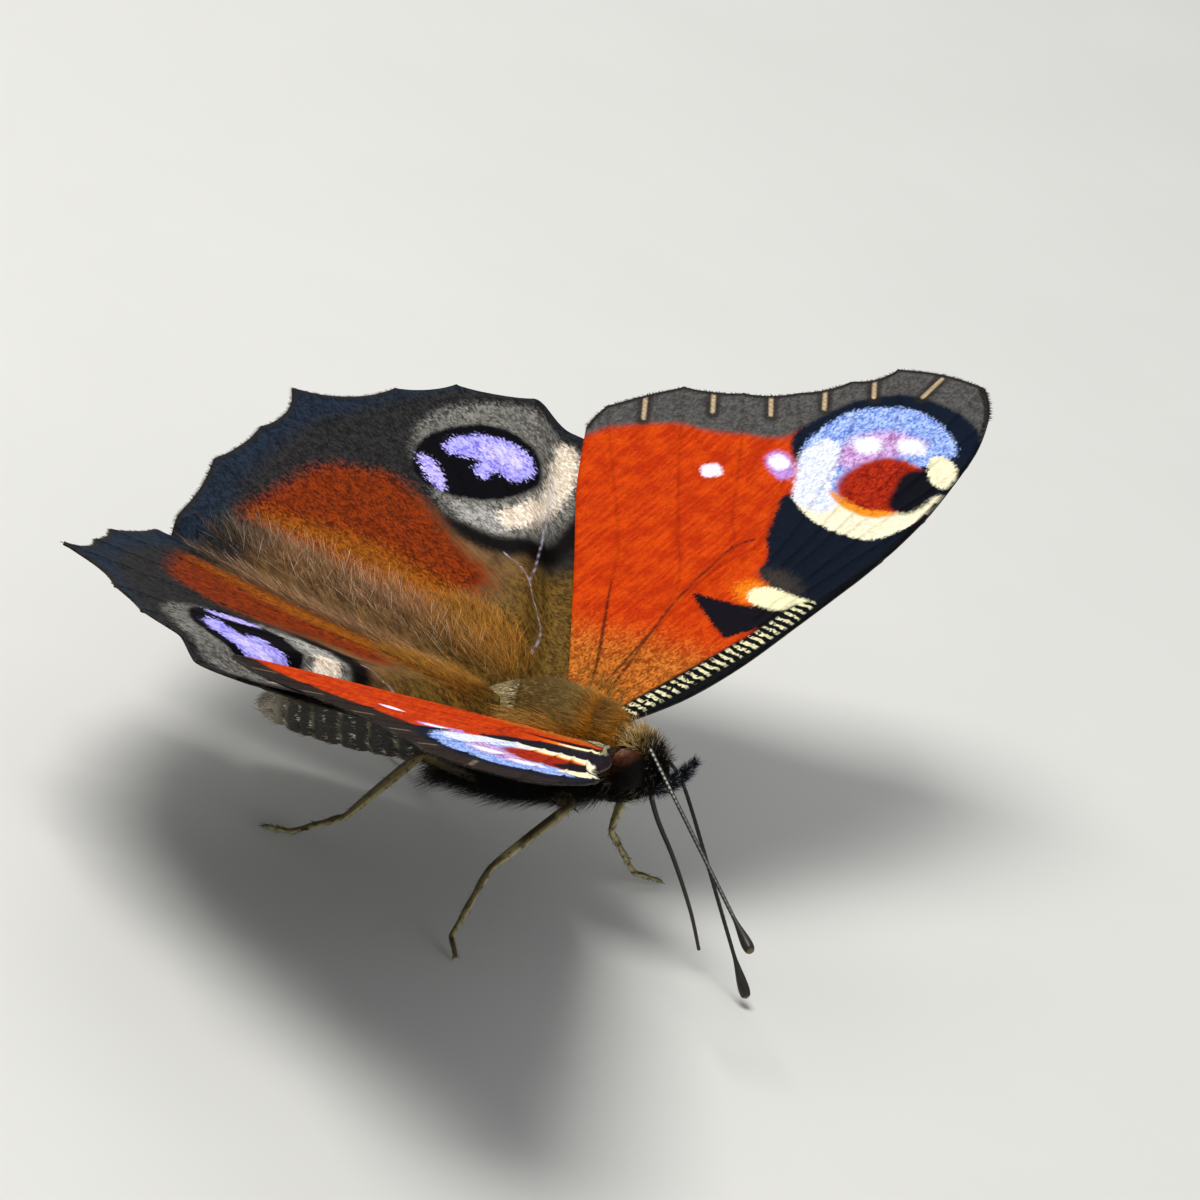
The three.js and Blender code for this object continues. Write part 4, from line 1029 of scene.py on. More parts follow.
def scatter_on_skin(count, x_range, keeps):
    """Roots spread evenly over the skin where keeps says so."""
    kept_x, kept_angle, total = [], [], 0
    while total < count:
        x = RANDOM.uniform(*x_range, count)
        angle = RANDOM.uniform(-math.pi, math.pi, count)
        girth = np.interp(x, SKIN_X, SKIN_HALF + (SKIN_TOP - SKIN_BOTTOM) / 2) / 4.4
        chosen = (RANDOM.random(count) < girth) & (RANDOM.random(count) < keeps(x, angle))
        kept_x.append(x[chosen])
        kept_angle.append(angle[chosen])
        total += chosen.sum()
    return np.concatenate(kept_x)[:count], np.concatenate(kept_angle)[:count]


def grow_on_skin(name, slot, material, count, x_range, keeps, length, width, tilt, lie=None, tint=body_tint,
                 **shape):
    """Tufts rooted on the skin. Keeps, length, tint and lie may be worked out from where each one grows."""
    x, angle = scatter_on_skin(count, x_range, keeps)
    here, normals, forward, sideways = skin_frames(x, angle)
    lies = lie(forward, sideways) if lie else -forward
    lengths = vary(length(x, angle) if callable(length) else np.full(count, length), 0.3)
    tilts = np.radians(vary(np.full(count, tilt), 0.3))
    tints = tint(x, angle) * RANDOM.uniform(0.75, 1.3, (count, 1))
    make_tufts(name, here, normals, lies, lengths, vary(np.full(count, width), 0.3), tilts, tints,
               skin_map(x, angle), material, slot, **shape)


def away_from_top(angle):
    return np.abs((angle + math.pi) % (2 * math.pi) - math.pi)


def make_body_coat():
    # Each coat's lift sets how far painted light brightens it toward its tips
    down = hair_material("body_down", lift=1.15)
    fur = hair_material("body_fur", lift=1.6)
    bristle = hair_material("head_bristles", lift=2.6)
    grow_on_skin("thorax_down", "thorax", down, count=13000, x_range=(-6.2, 0.3), keeps=on_dome,
                 length=0.42, width=0.045, tilt=11, rings=2)
    grow_on_skin("thorax_fringe", "thorax", fur, count=8000, x_range=(-6.6, 0.4), keeps=beside_dome,
                 length=1.3, width=0.026, tilt=62, tint=gold_tint, bend=0.3)
    grow_on_skin("thorax_collar", "thorax", fur, count=3500, x_range=(-0.7, 0.75), keeps=in_collar,
                 length=0.8, width=0.026, tilt=20, tint=gold_tint)
    grow_on_skin("thorax_ruff", "thorax", fur, count=4500, x_range=(-0.6, 0.7), keeps=in_collar, length=1.0,
                 width=0.026, tilt=34, tint=gold_tint, lie=fanned(1, 0.3))
    grow_on_skin("thorax_belly", "thorax", down, count=11000, x_range=(-6.4, 0.9), keeps=under_body,
                 length=belly_length, width=0.04, tilt=46)
    grow_on_skin("head_bristles", "head", bristle, count=6000, x_range=(0.6, HEAD_FRONT),
                 keeps=clear_of_eyes, length=bristle_length, width=0.03, tilt=58, tint=bristle_tint,
                 lie=fanned(-0.5, 0.5), bend=0.2)
    grow_on_skin("head_down", "head", down, count=5000, x_range=(0.7, HEAD_FRONT), keeps=clear_of_eyes,
                 length=0.28, width=0.05, tilt=40, lie=fanned(-0.5, 0.5), rings=2)
    grow_on_skin("abdomen_scales", "abdomen", fur, count=11000, x_range=(BODY_REAR, -5.8), keeps=everywhere,
                 length=0.26, width=0.09, tilt=9, tint=scale_tint, rings=2)
    grow_on_skin("abdomen_hair", "abdomen", fur, count=3500, x_range=(BODY_REAR, -5.8), keeps=upper_side,
                 length=0.5, width=0.03, tilt=20, tint=abdomen_hair_tint)


def fanned(ahead, spread):
    """A lie that goes forward by ahead, or back where it's negative, and fans out to the sides."""
    return lambda forward, sideways: forward * ahead + sideways * RANDOM.normal(0, spread,
                                                                                (len(forward), 1))


def everywhere(x, angle):
    return np.ones(len(x))


def under_body(x, angle):
    return smooth((away_from_top(angle) - 1.5) / 0.3)


def upper_side(x, angle):
    return 0.1 + 0.9 * smooth((1.3 - away_from_top(angle)) / 0.7)


def belly_length(x, angle):
    return 1.25 + 0.6 * smooth((-1 - x) / 2) - 0.5 * smooth(x + 0.2)


def bristle_length(x, angle):
    return (0.32 + 0.5 * RANDOM.random(len(x)) ** 2) * (1.25 - 0.35 * smooth((x - 1.2) / 1))


def on_dome(x, angle):
    """The smooth top of the thorax."""
    return smooth((1.55 - away_from_top(angle)) / 0.25)


def beside_dome(x, angle):
    """The long hair where the wings join, thinnest right on their roots."""
    low = away_from_top(angle)
    behind = smooth((-5.2 - x) / 0.6) * (low > 0.5)
    return np.maximum(smooth((low - 0.85) / 0.4) * (low < 1.75), behind * 0.7)


def in_collar(x, angle):
    return (0.12 + 0.88 * smooth((x + 0.5) / 0.8)) * (away_from_top(angle) < 1.9)


def gold_tint(x, angle):
    """Golden hair, more orange to the front and browner low down."""
    down = away_from_top(angle)
    tint = blend(smooth((x + 2) / 2), "#bd8a40", "#c9821f")
    tint = blend((RANDOM.random(len(x)) < 0.3) * 0.7, tint, "#5e4a22")
    tint = blend(smooth((1.0 - down) / 0.4) * smooth((0.1 - x) / 0.4) * 0.6, tint, "#7a6335")
    tint = blend(smooth((x + 0.1) / 0.5) * 0.9, tint, "#402808")
    tint = blend(smooth((down - 0.85) / 0.4) * smooth((x + 1.6) / 1) * 0.65, tint, "#46290a")
    return blend(smooth((down - 1.45) / 0.4), tint, "#241a10")


def bristle_tint(x, angle):
    """Brown and gold on the nape, black with a few pale bristles in front."""
    back = smooth((2.5 - x) / 1.1) * smooth((1.35 - away_from_top(angle)) / 0.5)
    tint = blend(back * (RANDOM.random(len(x)) < 0.75), "#120e0c", "#b38f46")
    return blend((RANDOM.random(len(x)) < 0.12 + 0.12 * back) * 0.85, tint, "#a39a84")


def scale_tint(x, angle):
    """Abdomen scales: grey-brown, with pale, blue-grey, golden and black ones in patches."""
    pick = RANDOM.random(len(x))
    segment = np.floor(abdomen_share(x) * ABDOMEN_SEGMENTS)
    patch = np.sin(angle * 8 + segment * 2.3) * np.sin(x * 5 + angle * 3)
    pale, dark = smooth((patch + 0.02) / 0.3), smooth((-0.1 - patch) / 0.3)
    tint = blend((pick < 0.04 + 0.75 * pale) * 0.95, body_tint(x, angle), "#f0e7d0")
    tint = blend(((pick > 0.6) & (pick < 0.74)) * 0.8, tint, "#93a1b2")
    tint = blend(((pick > 0.9) & (away_from_top(angle) < 1.4)) * 0.8, tint, "#8f6a30")
    return blend((pick < 0.7 * dark) * 0.9, tint, "#121111")


def abdomen_hair_tint(x, angle):
    grey = smooth((away_from_top(angle) - 0.6) / 0.5) * (RANDOM.random(len(x)) < 0.85)
    return blend(np.maximum(grey, smooth((-13.2 - x) / 1.2)), "#8f6b3c", "#8d8678")


def clear_of_eyes(x, angle):
    here = skin_points(x, angle)
    offset = (here - EYE_MIDDLE * np.where(here[:, 1:2] < 0, [1, -1, 1], 1)) / (EYE_SIZE - 0.03)
    return (np.einsum("ij,ij->i", offset, offset) > 1).astype(float)


# Hair on the wings
def wing_unwrap(places):
    return columns((places[:, 0] + 1.5) / 31, (places[:, 1] + 13.5) / 31)


def grow_on_wing(name, wing, side, count, area, length, width, tilt, lie, tint, material, spread):
    """Hair on a wing's upper side inside an area, leaning along lie, given as shares outward and across."""
    ring, outline = closed_spline(area), wing_outline(wing, 0.3)
    places = RANDOM.uniform(ring.min(0), ring.max(0), (count * 3, 2))
    depth = np.minimum(area_depth(places, ring), area_depth(places, outline) * 4)
    places = places[RANDOM.random(len(places)) < smooth(depth / 2.2)][:count]
    _, outward, across, up = wing.planes[side]
    roots = wing.on(places, wing.height(places, side) + MEMBRANE / 2, side)
    total = len(places)
    lies = outward * lie[0] + across * side * lie[1] + RANDOM.normal(0, spread, (total, 3))
    tints = tint(places) * RANDOM.uniform(0.75, 1.3, (total, 1))
    lengths = vary(np.full(total, length), 0.45) * (0.45 + 0.55 * smooth(area_depth(places, ring) / 2))
    widths = vary(np.full(total, width), 0.3)
    tilts = np.radians(vary(np.full(total, tilt), 0.6))
    make_tufts(name, roots, up[None].repeat(total, 0), lies, lengths, widths, tilts, tints,
               wing_unwrap(places), material, wing.slot, rings=2, sink=0.02)


HIND_HAIR = [(3.2, 2.6), (7, 2.4), (10, 3.2), (13.2, 5), (16, 7), (17.2, 9.2), (16, 10.8), (12, 9.2),
             (8, 6.9), (3.8, 5)]
HIND_ROOT_HAIR = [(2.4, 0.6), (6, 0.2), (8.6, 0.8), (9.8, 3), (8, 4.8), (5.5, 5), (2.6, 4.2)]
FORE_ROOT_HAIR = [(-0.5, -0.2), (1, -0.3), (2.4, 0.9), (2.2, 2.6), (1.6, 3.8), (0.4, 3.2), (-0.6, 2)]


def hind_hair_tint(places):
    """Grey-brown with a rosy cast, golden to the root and darker to the margin, with a few pale hairs painted
    as glints.
    """
    u = places[:, 0]
    grey = blend(RANDOM.random(len(u)) < 0.35, "#8c6c4a", "#ba8359")
    tint = blend(smooth((9.5 - u) / 4) * (RANDOM.random(len(u)) < 0.8), grey, "#94692f")
    tint = blend(smooth((u - 13) / 2.5) * 0.7, tint, "#463f36")
    # A few pale hairs: painted glints on the hair.
    return blend((RANDOM.random(len(u)) < 0.09) * 0.8, tint, "#e3cdb0")


def gold_hair_tint(places):
    return blend(RANDOM.random(len(places)) < 0.35, "#b37a28", "#7d5b2c")


def make_wing_hair(side):
    label = SIDES[side]
    soft = hair_material(f"wing_hair_{label}", lift=2.0)
    grow_on_wing(f"hindwing_{label}_hair", HIND, side, count=3600 + 300 * side, area=HIND_HAIR, length=1.45,
                 width=0.017, tilt=25, lie=(0.95, -0.25), tint=hind_hair_tint, material=soft, spread=0.42)
    grow_on_wing(f"hindwing_{label}_root_hair", HIND, side, count=1900, area=HIND_ROOT_HAIR, length=1.2,
                 width=0.018, tilt=22, lie=(0.95, -0.2), tint=gold_hair_tint, material=soft, spread=0.4)
    grow_on_wing(f"forewing_{label}_root_hair", FORE, side, count=1100, area=FORE_ROOT_HAIR, length=0.5,
                 width=0.026, tilt=15, lie=(1, 0.1), tint=gold_hair_tint, material=soft, spread=0.18)
    fringe = hair_material(f"wing_fringe_{label}", lift=1.1)
    grow_fringe(HIND, side, "#34322f", fringe)
    grow_fringe(FORE, side, "#4a433c", fringe)


FRINGE_LENGTH = 0.2
FRINGE_GAP = 0.035


def grow_fringe(wing, side, tint, material):
    """Scales that stand out from a wing's outer margin."""
    label = SIDES[side]
    outline = wing_outline(wing, FRINGE_GAP)
    start, end = wing.margin_ends(outline)
    tangent = unit(np.roll(outline, -3, 0) - np.roll(outline, 3, 0))[start:end]
    places = outline[start:end]
    outside = columns(tangent[:, 1], -tangent[:, 0])
    _, outward, across, up = wing.planes[side]
    lies = outside[:, :1] * outward + outside[:, 1:] * side * across
    lies = lies + RANDOM.normal(0, 0.12, lies.shape)
    count = len(places)
    roots = wing.on(places - outside * 0.08, wing.height(places, side), side)
    tints = colour(tint) * RANDOM.uniform(0.5, 1.5, (count, 1))
    lengths = vary(np.full(count, FRINGE_LENGTH), 0.4)
    tilts = np.radians(RANDOM.uniform(-8, 8, count))
    make_tufts(f"{wing.slot}_{label}_fringe", roots, up[None].repeat(count, 0), lies, lengths,
               np.full(count, 0.06), tilts, tints, wing_unwrap(places), material, wing.slot, rings=2,
               sink=0.0)


# Eyes
def make_eye(label, side):
    """A faceted, faintly banded compound eye."""
    polar, azimuth = grid(np.linspace(0.02, math.pi - 0.02, EYE_ROWS),
                          np.linspace(0, 2 * math.pi, EYE_AROUND, endpoint=False))
    ball = columns(np.sin(polar) * np.cos(azimuth), np.cos(polar) * side, np.sin(polar) * np.sin(azimuth))
    ball = np.concatenate([ball, [(0, side, 0), (0, -side, 0)]])
    faces = ringed_faces(EYE_ROWS, EYE_AROUND)
    faces = faces[:, ::-1] if side > 0 else faces
    points = EYE_MIDDLE * (1, side, 1) + ball * EYE_SIZE
    piece = new_piece(f"eye_{label}_surface", points, faces, [EYE_MATERIAL],
                      replaces=[f"eye_{label}"])
    add_values(piece, "eye_height", ball[:, 2])
    add_values(piece, "eye_front", ball[:, 0])


def eye_material():
    s = Shader("eye_facets", Roughness=0.5, Specular_IOR_Level=0.08)
    facets = s.node("TexVoronoi", "Distance", Scale=16000.0, Vector=s.places())
    cloud = s.noise(1300.0, 3.0)
    height, front = s.attribute("eye_height"), s.attribute("eye_front")
    # The brown and the pale on the eye's top and back are partly its reddish-brown colour and partly painted
    # light where light falls from above.
    rim = s.plus(s.minus(height, s.times(front, 0.75)), s.times(cloud, 0.9))
    paint = s.mix(s.between(rim, 0.5, 1.15), "#080403", "#43200f")
    paint = s.mix(s.between(rim, 1.3, 1.8, 0.6), paint, "#b58a70")
    paint = s.mix(s.between(s.noise(6000.0, 2.0), 0.5, 0.62, 0.55), paint, "#120906")
    offset = s.minus(s.plus(height, s.times(cloud, 0.3)), 0.35)
    band = s.rest(s.between(s.math("ABSOLUTE", offset), 0.04, 0.12))
    s.set("Base Color", s.mix(s.times(band, 0.8), paint, "#080504"))
    s.bump(facets, 0.00003, 0.6)
    return s.material


EYE_MATERIAL = eye_material()


# Tubes: legs, feelers, palps and proboscis
def frames_along(line):
    """Heading, and two directions square to it, at each point of a line, without twisting."""
    heading = unit(np.gradient(line, axis=0))
    normal = unit(np.cross((0.31, 0.17, 0.93), heading[0]))
    normals = []
    for direction in heading:
        normal = unit(normal - direction * (normal @ direction))
        normals.append(normal)
    normals = np.array(normals)
    return heading, normals, np.cross(heading, normals)


def across_tube(normal, binormal, angle):
    """Direction out of a tube at an angle round it."""
    return normal * np.cos(angle)[:, None] + binormal * np.sin(angle)[:, None]


def tube_mesh(line, radii, sides):
    """Points, triangles and outward directions of a closed tube with a radius at each point of its line."""
    heading, normal, binormal = frames_along(line)
    angles = np.tile(np.linspace(0, 2 * math.pi, sides, endpoint=False), len(line))
    out = across_tube(np.repeat(normal, sides, 0), np.repeat(binormal, sides, 0), angles)
    out = np.concatenate([out, [-heading[0], heading[-1]]])
    reach = on_rings(radii, sides)
    reach[-2:] *= 0.5
    return on_rings(line, sides) + out * reach[:, None], ringed_faces(len(line), sides, crossed=True), out


def on_rings(values, sides):
    """Values of a line's points, repeated for each corner of a tube's rings and its two ends."""
    values = np.asarray(values)
    return np.concatenate([np.repeat(values, sides, 0), values[[0, -1]]])


def tube_map(share, angle):
    """A tube's own unwrap, from its share along and its angle round it."""
    return columns(0.02 + 0.96 * share, 0.02 + 0.96 * angle / (2 * math.pi))


LEGS = {
    "midleg_right": [(-0.9, -1, 5.2), (0.83, -4.6, 6.65), (-1, -7, 3.6), (-1.3, -8.2, 0.6),
                     (-0.7, -8.9, 0.2)],
    "midleg_left": [(-0.9, 1, 5.2), (0.83, 4.6, 6.65), (0.9, 4.4, 2.3), (2.2, 5.6, 0.45), (3.3, 6.5, 0.2)],
    "hindleg_right": [(-3.7, -1, 4.4), (-5.9, -4.5, 5.9), (-8, -5, 2), (-9.9, -5.2, 0.45),
                      (-11.1, -5.35, 0.2)],
    "hindleg_left": [(-3.7, 1, 4.4), (-5.6, 4.5, 5.9), (-7.4, 5.6, 2.2), (-8.8, 6.4, 0.5),
                     (-9.9, 6.9, 0.2)],
}
LEG_RADII = [0.28, 0.22, 0.165, 0.12, 0.09]
FORELEG_PATH = [(-0.1, 0.75, -2.4), (0.5, 0.8, -2.65), (1.2, 0.75, -2.68), (1.8, 0.7, -2.5)]
FORELEG_RADII = [0.24, 0.2, 0.16, 0.1]
TARSUS_PARTS = 5


def jointed_line(joints, radii):
    """A line through joints with short round bends, and its radii, fuller in the middle of each length."""
    joints = np.array(joints, float)
    line, sizes, parts = [], [], []
    last = len(joints) - 2
    for i in range(last + 1):
        share = np.linspace(0, 1, LEG_STEPS, endpoint=i == last)
        line.append(joints[i] + (joints[i + 1] - joints[i]) * share[:, None])
        waist = 1 - 0.22 * (np.exp(-((share / 0.09) ** 2)) + np.exp(-(((1 - share) / 0.09) ** 2)))
        swell = 1 + 0.12 * np.sin(math.pi * share)
        sizes.append((radii[i] + (radii[i + 1] - radii[i]) * share) * (waist * swell if i < 2 else 1))
        parts.append(i + share)
    line, sizes, parts = np.concatenate(line), np.concatenate(sizes), np.concatenate(parts)
    padded = np.pad(line, ((2, 2), (0, 0)), "edge")
    line = columns(*(np.convolve(values, np.array([1, 2, 3, 2, 1]) / 9, "valid") for values in padded.T))
    foot = parts - (last - 1)
    rings = 0.86 + 0.22 * np.sin(foot / 2 * TARSUS_PARTS * math.pi) ** 2
    return line, sizes * np.where(foot >= 0, rings, 1), parts


def leg_material():
    s = Shader("leg_scales", Roughness=0.5, Specular_IOR_Level=0.4)
    fine, cloud = s.noise(3000.0, 3.0), s.noise(500.0, 3.0)
    along, side = s.attribute("along"), s.attribute("leg_side")
    paint = s.mix(s.between(along, 0.1, 0.35), "#1c160e", "#6f5f2e")
    paint = s.mix(s.between(along, 0.55, 0.8), paint, "#a39355")
    below = s.between(s.plus(side, s.times(s.minus(cloud, 0.5), 0.8)), -0.1, 0.3)
    paint = s.mix(s.times(below, s.between(along, 0.2, 0.5, 0.75)), paint, "#d3c695")
    paint = s.mix(s.between(s.minus(s.times(cloud, 0.8), side), 0.55, 0.9, 0.8), paint, "#2b2214")
    paint = s.mix(s.between(fine, 0.52, 0.7), paint, "#332a16")
    s.set("Base Color", s.mix(s.between(cloud, 0.5, 0.7, 0.5), paint, "#c4b77e"))
    s.bump(fine, 0.00005, 0.7)
    return s.material


def make_leg(name, joints, radii, on_floor, tufts):
    """A scaly leg with its bristles. Joints are in the floor's frame where it stands on the floor."""
    line, sizes, parts = jointed_line(joints, radii)
    points, faces, out = tube_mesh(line, sizes, TUBE_SIDES)
    piece = new_piece(f"{name}_surface", points, faces, [LEG_MATERIAL], replaces=[name],
                      on_floor=on_floor)
    shares = on_rings(np.linspace(0, 1, len(line)), TUBE_SIDES)
    add_values(piece, "along", shares * on_floor)
    add_values(piece, "leg_side", out @ unit((0.35, 0, -1)))
    if on_floor:
        line = line_to_body(line)
    grow_on_leg(name, line, sizes, parts, on_floor, tufts)
    if on_floor:
        make_claws(name, line, sizes, parts)


def grow_on_leg(name, line, sizes, parts, on_floor, count):
    """Short scales with a few longer bristles, rooted anywhere on a leg."""
    heading, normal, binormal = frames_along(line)
    place = RANDOM.uniform(0.02, 0.995, count) * (len(line) - 1)
    i = place.astype(int)
    angle = RANDOM.uniform(0, 2 * math.pi, count)
    out = across_tube(normal[i], binormal[i], angle)
    roots = line[i] + (line[i + 1] - line[i]) * (place - i)[:, None] + out * sizes[i][:, None]
    bristle = RANDOM.random(count) < 0.1
    lengths = np.where(bristle, 0.24, 0.1) * np.where((parts[i] < 1) | (not on_floor), 2.6, 1)
    tilts = np.radians(np.where(bristle, 42, np.where(parts[i] < 0.8, 32, 8)))
    coat = blend(smooth((parts[i] - 0.3) / 0.6), "#1a1510", "#7d6f3e") if on_floor else colour("#1c150f")
    tints = np.where(bristle[:, None], colour("#2a2012"), coat) * RANDOM.uniform(0.6, 1.4, (count, 1))
    make_tufts(f"{name}_coat", roots, out, heading[i], vary(lengths, 0.3), np.where(bristle, 0.03, 0.035),
               tilts, tints, tube_map(place / len(line), angle), HAIR, "leg", rings=2, sink=0.02)


def make_claws(name, line, sizes, parts):
    """Two spurs at the end of the shin and two claws at the end of the foot."""
    heading, _, _ = frames_along(line)
    at = np.repeat([np.searchsorted(parts, 1.96), len(line) - 2], 2)
    out = unit(np.cross(heading[at], (0, 0, 1))) * np.array([1, -1, 1, -1])[:, None]
    tints = np.repeat([colour("#6b5a34"), colour("#2a1d10")], 2, 0)
    lengths, widths, tilts = np.repeat([(0.5, 0.07, 28), (0.3, 0.06, 40)], 2, 0).T
    unwrap = np.array([[0.2, 0.2], [0.2, 0.8], [0.8, 0.2], [0.8, 0.8]])
    make_tufts(f"{name}_claws", line[at] + out * sizes[at][:, None] * 0.5, out, heading[at], lengths,
               widths, np.radians(tilts), tints, unwrap, HAIR, "leg", sink=0.02)


def line_to_body(line):
    """From the floor's frame back to the body's."""
    x, y, z = (line - (0, 0, WING_BASE_HEIGHT)).T
    return columns(x * math.cos(PITCH) + z * math.sin(PITCH), y, z * math.cos(PITCH) - x * math.sin(PITCH))


LEG_MATERIAL = leg_material()
HAIR = hair_material("limb_hair")
ANTENNA_PATHS = {
    1: [(2.0, 0.6, -0.9), (2.6, 1.1, -1.4), (3.1, 1.35, -2.2), (3.75, 1.1, -3.4), (5.45, -0.05, -6.6),
        (7.35, -1.2, -10.35)],
    -1: [(2.35, -0.75, -0.35), (9.3, -7.6, -5.8)],
}
SHAFT_RADIUS = 0.08
CLUB_RADIUS = 0.25
CLUB_LENGTH = 2.0
RING_LENGTH = 0.26
PALP_PATH = [(2.3, 0.5, -2.1), (3.0, 0.48, -1.95), (3.55, 0.46, -1.5), (3.95, 0.42, -0.95)]
PALP_RADII = [0.2, 0.21, 0.19, 0.07]
PROBOSCIS_PATH = [(2.2, 0, -2.4), (2.6, 0, -3.6), (3.45, 0, -5.3), (4.3, 0, -7.4), (4.75, 0.1, -9.1)]
PROBOSCIS_RADIUS = 0.1


def antenna_material():
    s = Shader("antenna_rings", Roughness=0.42, Specular_IOR_Level=0.45)
    along, club = s.attribute("rings"), s.attribute("club")
    fraction = s.math("FRACT", along)
    pale = s.times(s.between(fraction, 0.0, 0.15), s.rest(s.between(fraction, 0.5, 0.7)))
    side = s.between(s.plus(s.attribute("pale_side"), s.times(s.noise(4000.0), 0.3)), 0.8, 1.05)
    side = s.times(side, s.rest(s.between(along, 8.0, 14.0, 0.8)))
    shaft = s.rest(s.between(club, 0.0, 0.12))
    fine = s.noise(5000.0, 2.0)
    paint = s.mix(s.times(s.times(pale, side), shaft), s.mix(fine, "#0c0b0a", "#2a261c"), "#a8a294")
    s.set("Base Color", s.mix(s.between(club, 0.95, 0.995), paint, "#6b5c34"))
    s.bump(fine, 0.00002, 0.5)
    return s.material


def make_antenna(label, side):
    """A feeler: a ringed shaft that thickens to its club."""
    line = spline(ANTENNA_PATHS[side], FEELER_POINTS)
    length = length_along(line)
    club = np.clip((length - length[-1] + CLUB_LENGTH) / CLUB_LENGTH, 0, 1)
    fullness = smooth(club * 1.15) * np.sqrt(np.maximum(0, 1 - club**14))
    radii = SHAFT_RADIUS + (CLUB_RADIUS - SHAFT_RADIUS) * fullness
    rings = length / RING_LENGTH
    radii *= 1 + 0.07 * np.sin((rings % 1) * math.pi) * (club < 0.1)
    radii = np.where(length < 0.4, 0.1, radii)
    points, faces, out = tube_mesh(line, np.maximum(radii, 0.05), TUBE_SIDES)
    piece = new_piece(f"antenna_{label}_surface", points, faces, [ANTENNA_MATERIAL],
                      replaces=[f"antenna_{label}"])
    add_values(piece, "rings", on_rings(rings, TUBE_SIDES))
    add_values(piece, "club", on_rings(club, TUBE_SIDES))
    add_values(piece, "pale_side", out @ unit((0.2, side * 0.9, 0.5)))


def palp_material(label):
    s = Shader(f"palp_skin_{label}", Roughness=0.5)
    s.set("Base Color", s.mix(s.noise(3000.0), "#0c0b0c", "#27211d"))
    return s.material


def make_palp(label, side):
    """A palp beside the proboscis, with its rough coat of scales."""
    path = spline(np.array(PALP_PATH) * (1, side, 1), LINE_POINTS)
    radii = spline([(i / 3, r) for i, r in enumerate(PALP_RADII)], LINE_POINTS)[:, 1]
    points, faces, _ = tube_mesh(path, radii, PALP_SIDES)
    new_piece(f"palp_{label}_surface", points, faces, [palp_material(label)],
              replaces=[f"palp_{label}"])
    heading, normal, binormal = frames_along(path)
    count = PALP_TUFTS
    i = RANDOM.integers(2, LINE_POINTS - 1, count)
    angle = RANDOM.uniform(0, 2 * math.pi, count)
    out = across_tube(normal[i], binormal[i], angle)
    pick = RANDOM.random((count, 1))
    grey_or_pale = np.where(pick < 0.92, colour("#26303c"), colour("#a3adb5"))
    tints = np.where(pick < 0.7, colour("#0e0e12"), grey_or_pale)
    lengths = vary(np.where(out[:, 2] < 0, 0.36, 0.28), 0.5)
    tilts = np.radians(RANDOM.uniform(15, 65, count))
    make_tufts(f"palp_{label}_coat", path[i] + out * radii[i][:, None], out, heading[i], lengths,
               np.full(count, 0.03), tilts, tints, tube_map(i / LINE_POINTS, angle), HAIR, "head", rings=2,
               sink=0.02, bend=0.3)


def proboscis_material():
    s = Shader("proboscis_skin", Roughness=0.35)
    s.set("Base Color", s.mix(s.noise(1500.0), "#120d0a", "#3a2a1c"))
    s.bump(s.noise(9000.0), 0.00002, 0.6)
    return s.material


def make_proboscis():
    line = spline(PROBOSCIS_PATH, PROBOSCIS_POINTS)
    radii = PROBOSCIS_RADIUS * np.linspace(1.15, 0.75, PROBOSCIS_POINTS)
    points, faces, _ = tube_mesh(line, radii, TUBE_SIDES)
    new_piece("proboscis_surface", points, faces, [proboscis_material()], replaces=["proboscis"])


ANTENNA_MATERIAL = antenna_material()
make_skin()
make_body_coat()
for side, label in SIDES.items():
    make_eye(label, side)
    make_antenna(label, side)
    make_palp(label, side)
    make_leg(f"foreleg_{label}", np.array(FORELEG_PATH) * (1, side, 1), FORELEG_RADII, False, FORELEG_TUFTS)
    make_wing_hair(side)
make_proboscis()
for name, joints in LEGS.items():
    make_leg(name, joints, LEG_RADII, True, LEG_TUFTS)


# Floor, light and camera
def floor_material():
    s = Shader("floor_paint", Roughness=0.9)
    s.set("Base Color", s.mix(s.noise(60.0, 2.0), "#d8d6d0", "#dedcd6"))
    return s.material


def make_floor():
    """A plain pale floor."""
    bpy.ops.mesh.primitive_plane_add(size=FLOOR_SIZE, location=(0, 0, 0))
    floor = bpy.context.object
    floor.name = "floor"
    floor.data.materials.append(floor_material())


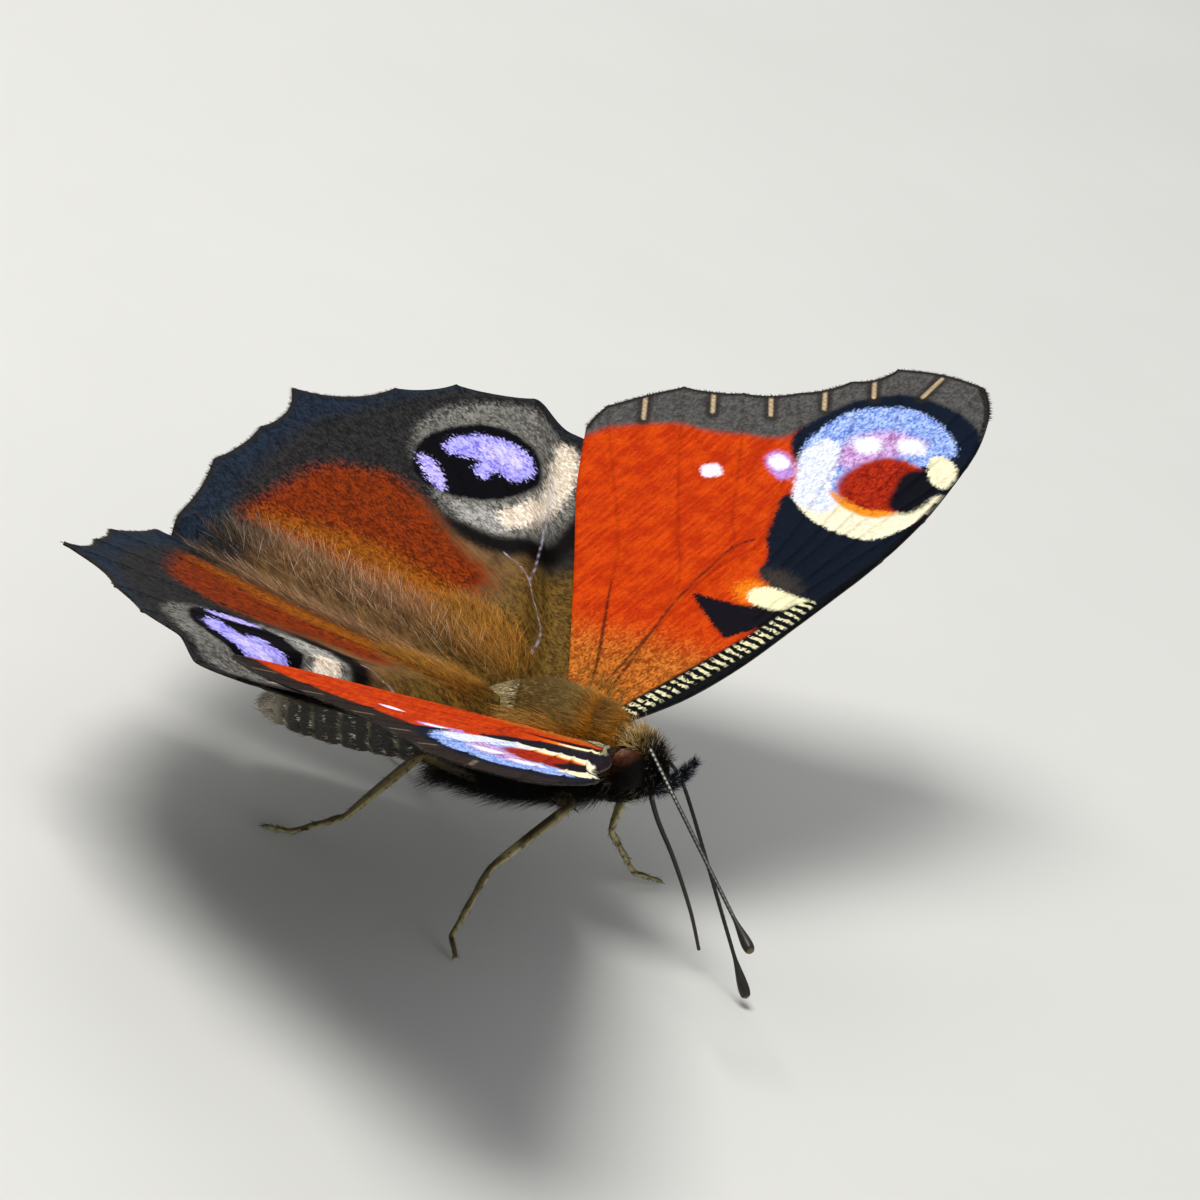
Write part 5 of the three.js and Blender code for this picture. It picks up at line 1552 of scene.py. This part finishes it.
def light_room():
    """A pale room, with soft light from above and a low fill."""
    world = bpy.data.worlds.new("soft_room")
    world.use_nodes = True
    room = world.node_tree.nodes["Background"]
    room.inputs["Color"].default_value = ROOM_COLOUR
    room.inputs["Strength"].default_value = ROOM_LIGHT
    bpy.context.scene.world = world
    for name, place, size, power in LIGHTS:
        data = bpy.data.lights.new(name, "AREA")
        data.size = size
        data.energy = power
        lamp = bpy.data.objects.new(name, data)
        bpy.context.scene.collection.objects.link(lamp)
        lamp.location = place
        lamp.rotation_euler = Vector(place).to_track_quat("Z", "Y").to_euler()


# Sizes in metres, and each lamp as its name, place, size and power
FLOOR_SIZE = 1.2
ROOM_COLOUR = (0.9, 0.95, 1.0, 1)
ROOM_LIGHT = 0.34
LIGHTS = [
    ("key", (-0.1, -0.06, 0.32), 0.16, 0.95),
    ("rim", (-0.15, 0.25, 0.22), 0.15, 0.25),
    ("fill", (0.3, -0.15, 0.12), 0.2, 0.12),
]


def camera():
    """The camera that the photo was taken from, found by fitting marks that show on both sides."""
    azimuth, elevation, roll = 0.31277, 0.31033, 0.0596
    distance, sideways, upwards = 297.14, -0.1476, 5.3413
    focal_pixels, image_pixels = 7117.4, 1200
    back = np.array([math.sin(azimuth) * math.cos(elevation), -math.cos(azimuth) * math.cos(elevation),
                     math.sin(elevation)])
    right = unit(np.cross(-back, (0, 0, 1)))
    up = np.cross(right, -back)
    right, up = (right * math.cos(roll) + up * math.sin(roll), up * math.cos(roll) - right * math.sin(roll))
    place = right * sideways + up * upwards + back * distance
    origin = in_scene([[0, 0, 0]])[0]
    axes = [(in_scene([axis])[0] - origin) * 1000 for axis in (right, up, back)]
    data = bpy.data.cameras.new("camera")
    data.sensor_width = 36
    data.lens = 36 * focal_pixels / image_pixels
    data.clip_start = 0.01
    data.clip_end = 10
    shown = bpy.data.objects.new("camera", data)
    matrix = Matrix([[*[axis[row] for axis in axes], 0] for row in range(3)] + [[0, 0, 0, 1]])
    matrix.translation = in_scene([place])[0]
    shown.matrix_world = matrix
    bpy.context.scene.collection.objects.link(shown)
    bpy.context.scene.camera = shown


make_floor()
light_room()
camera()
bpy.context.scene.view_settings.view_transform = "Standard"
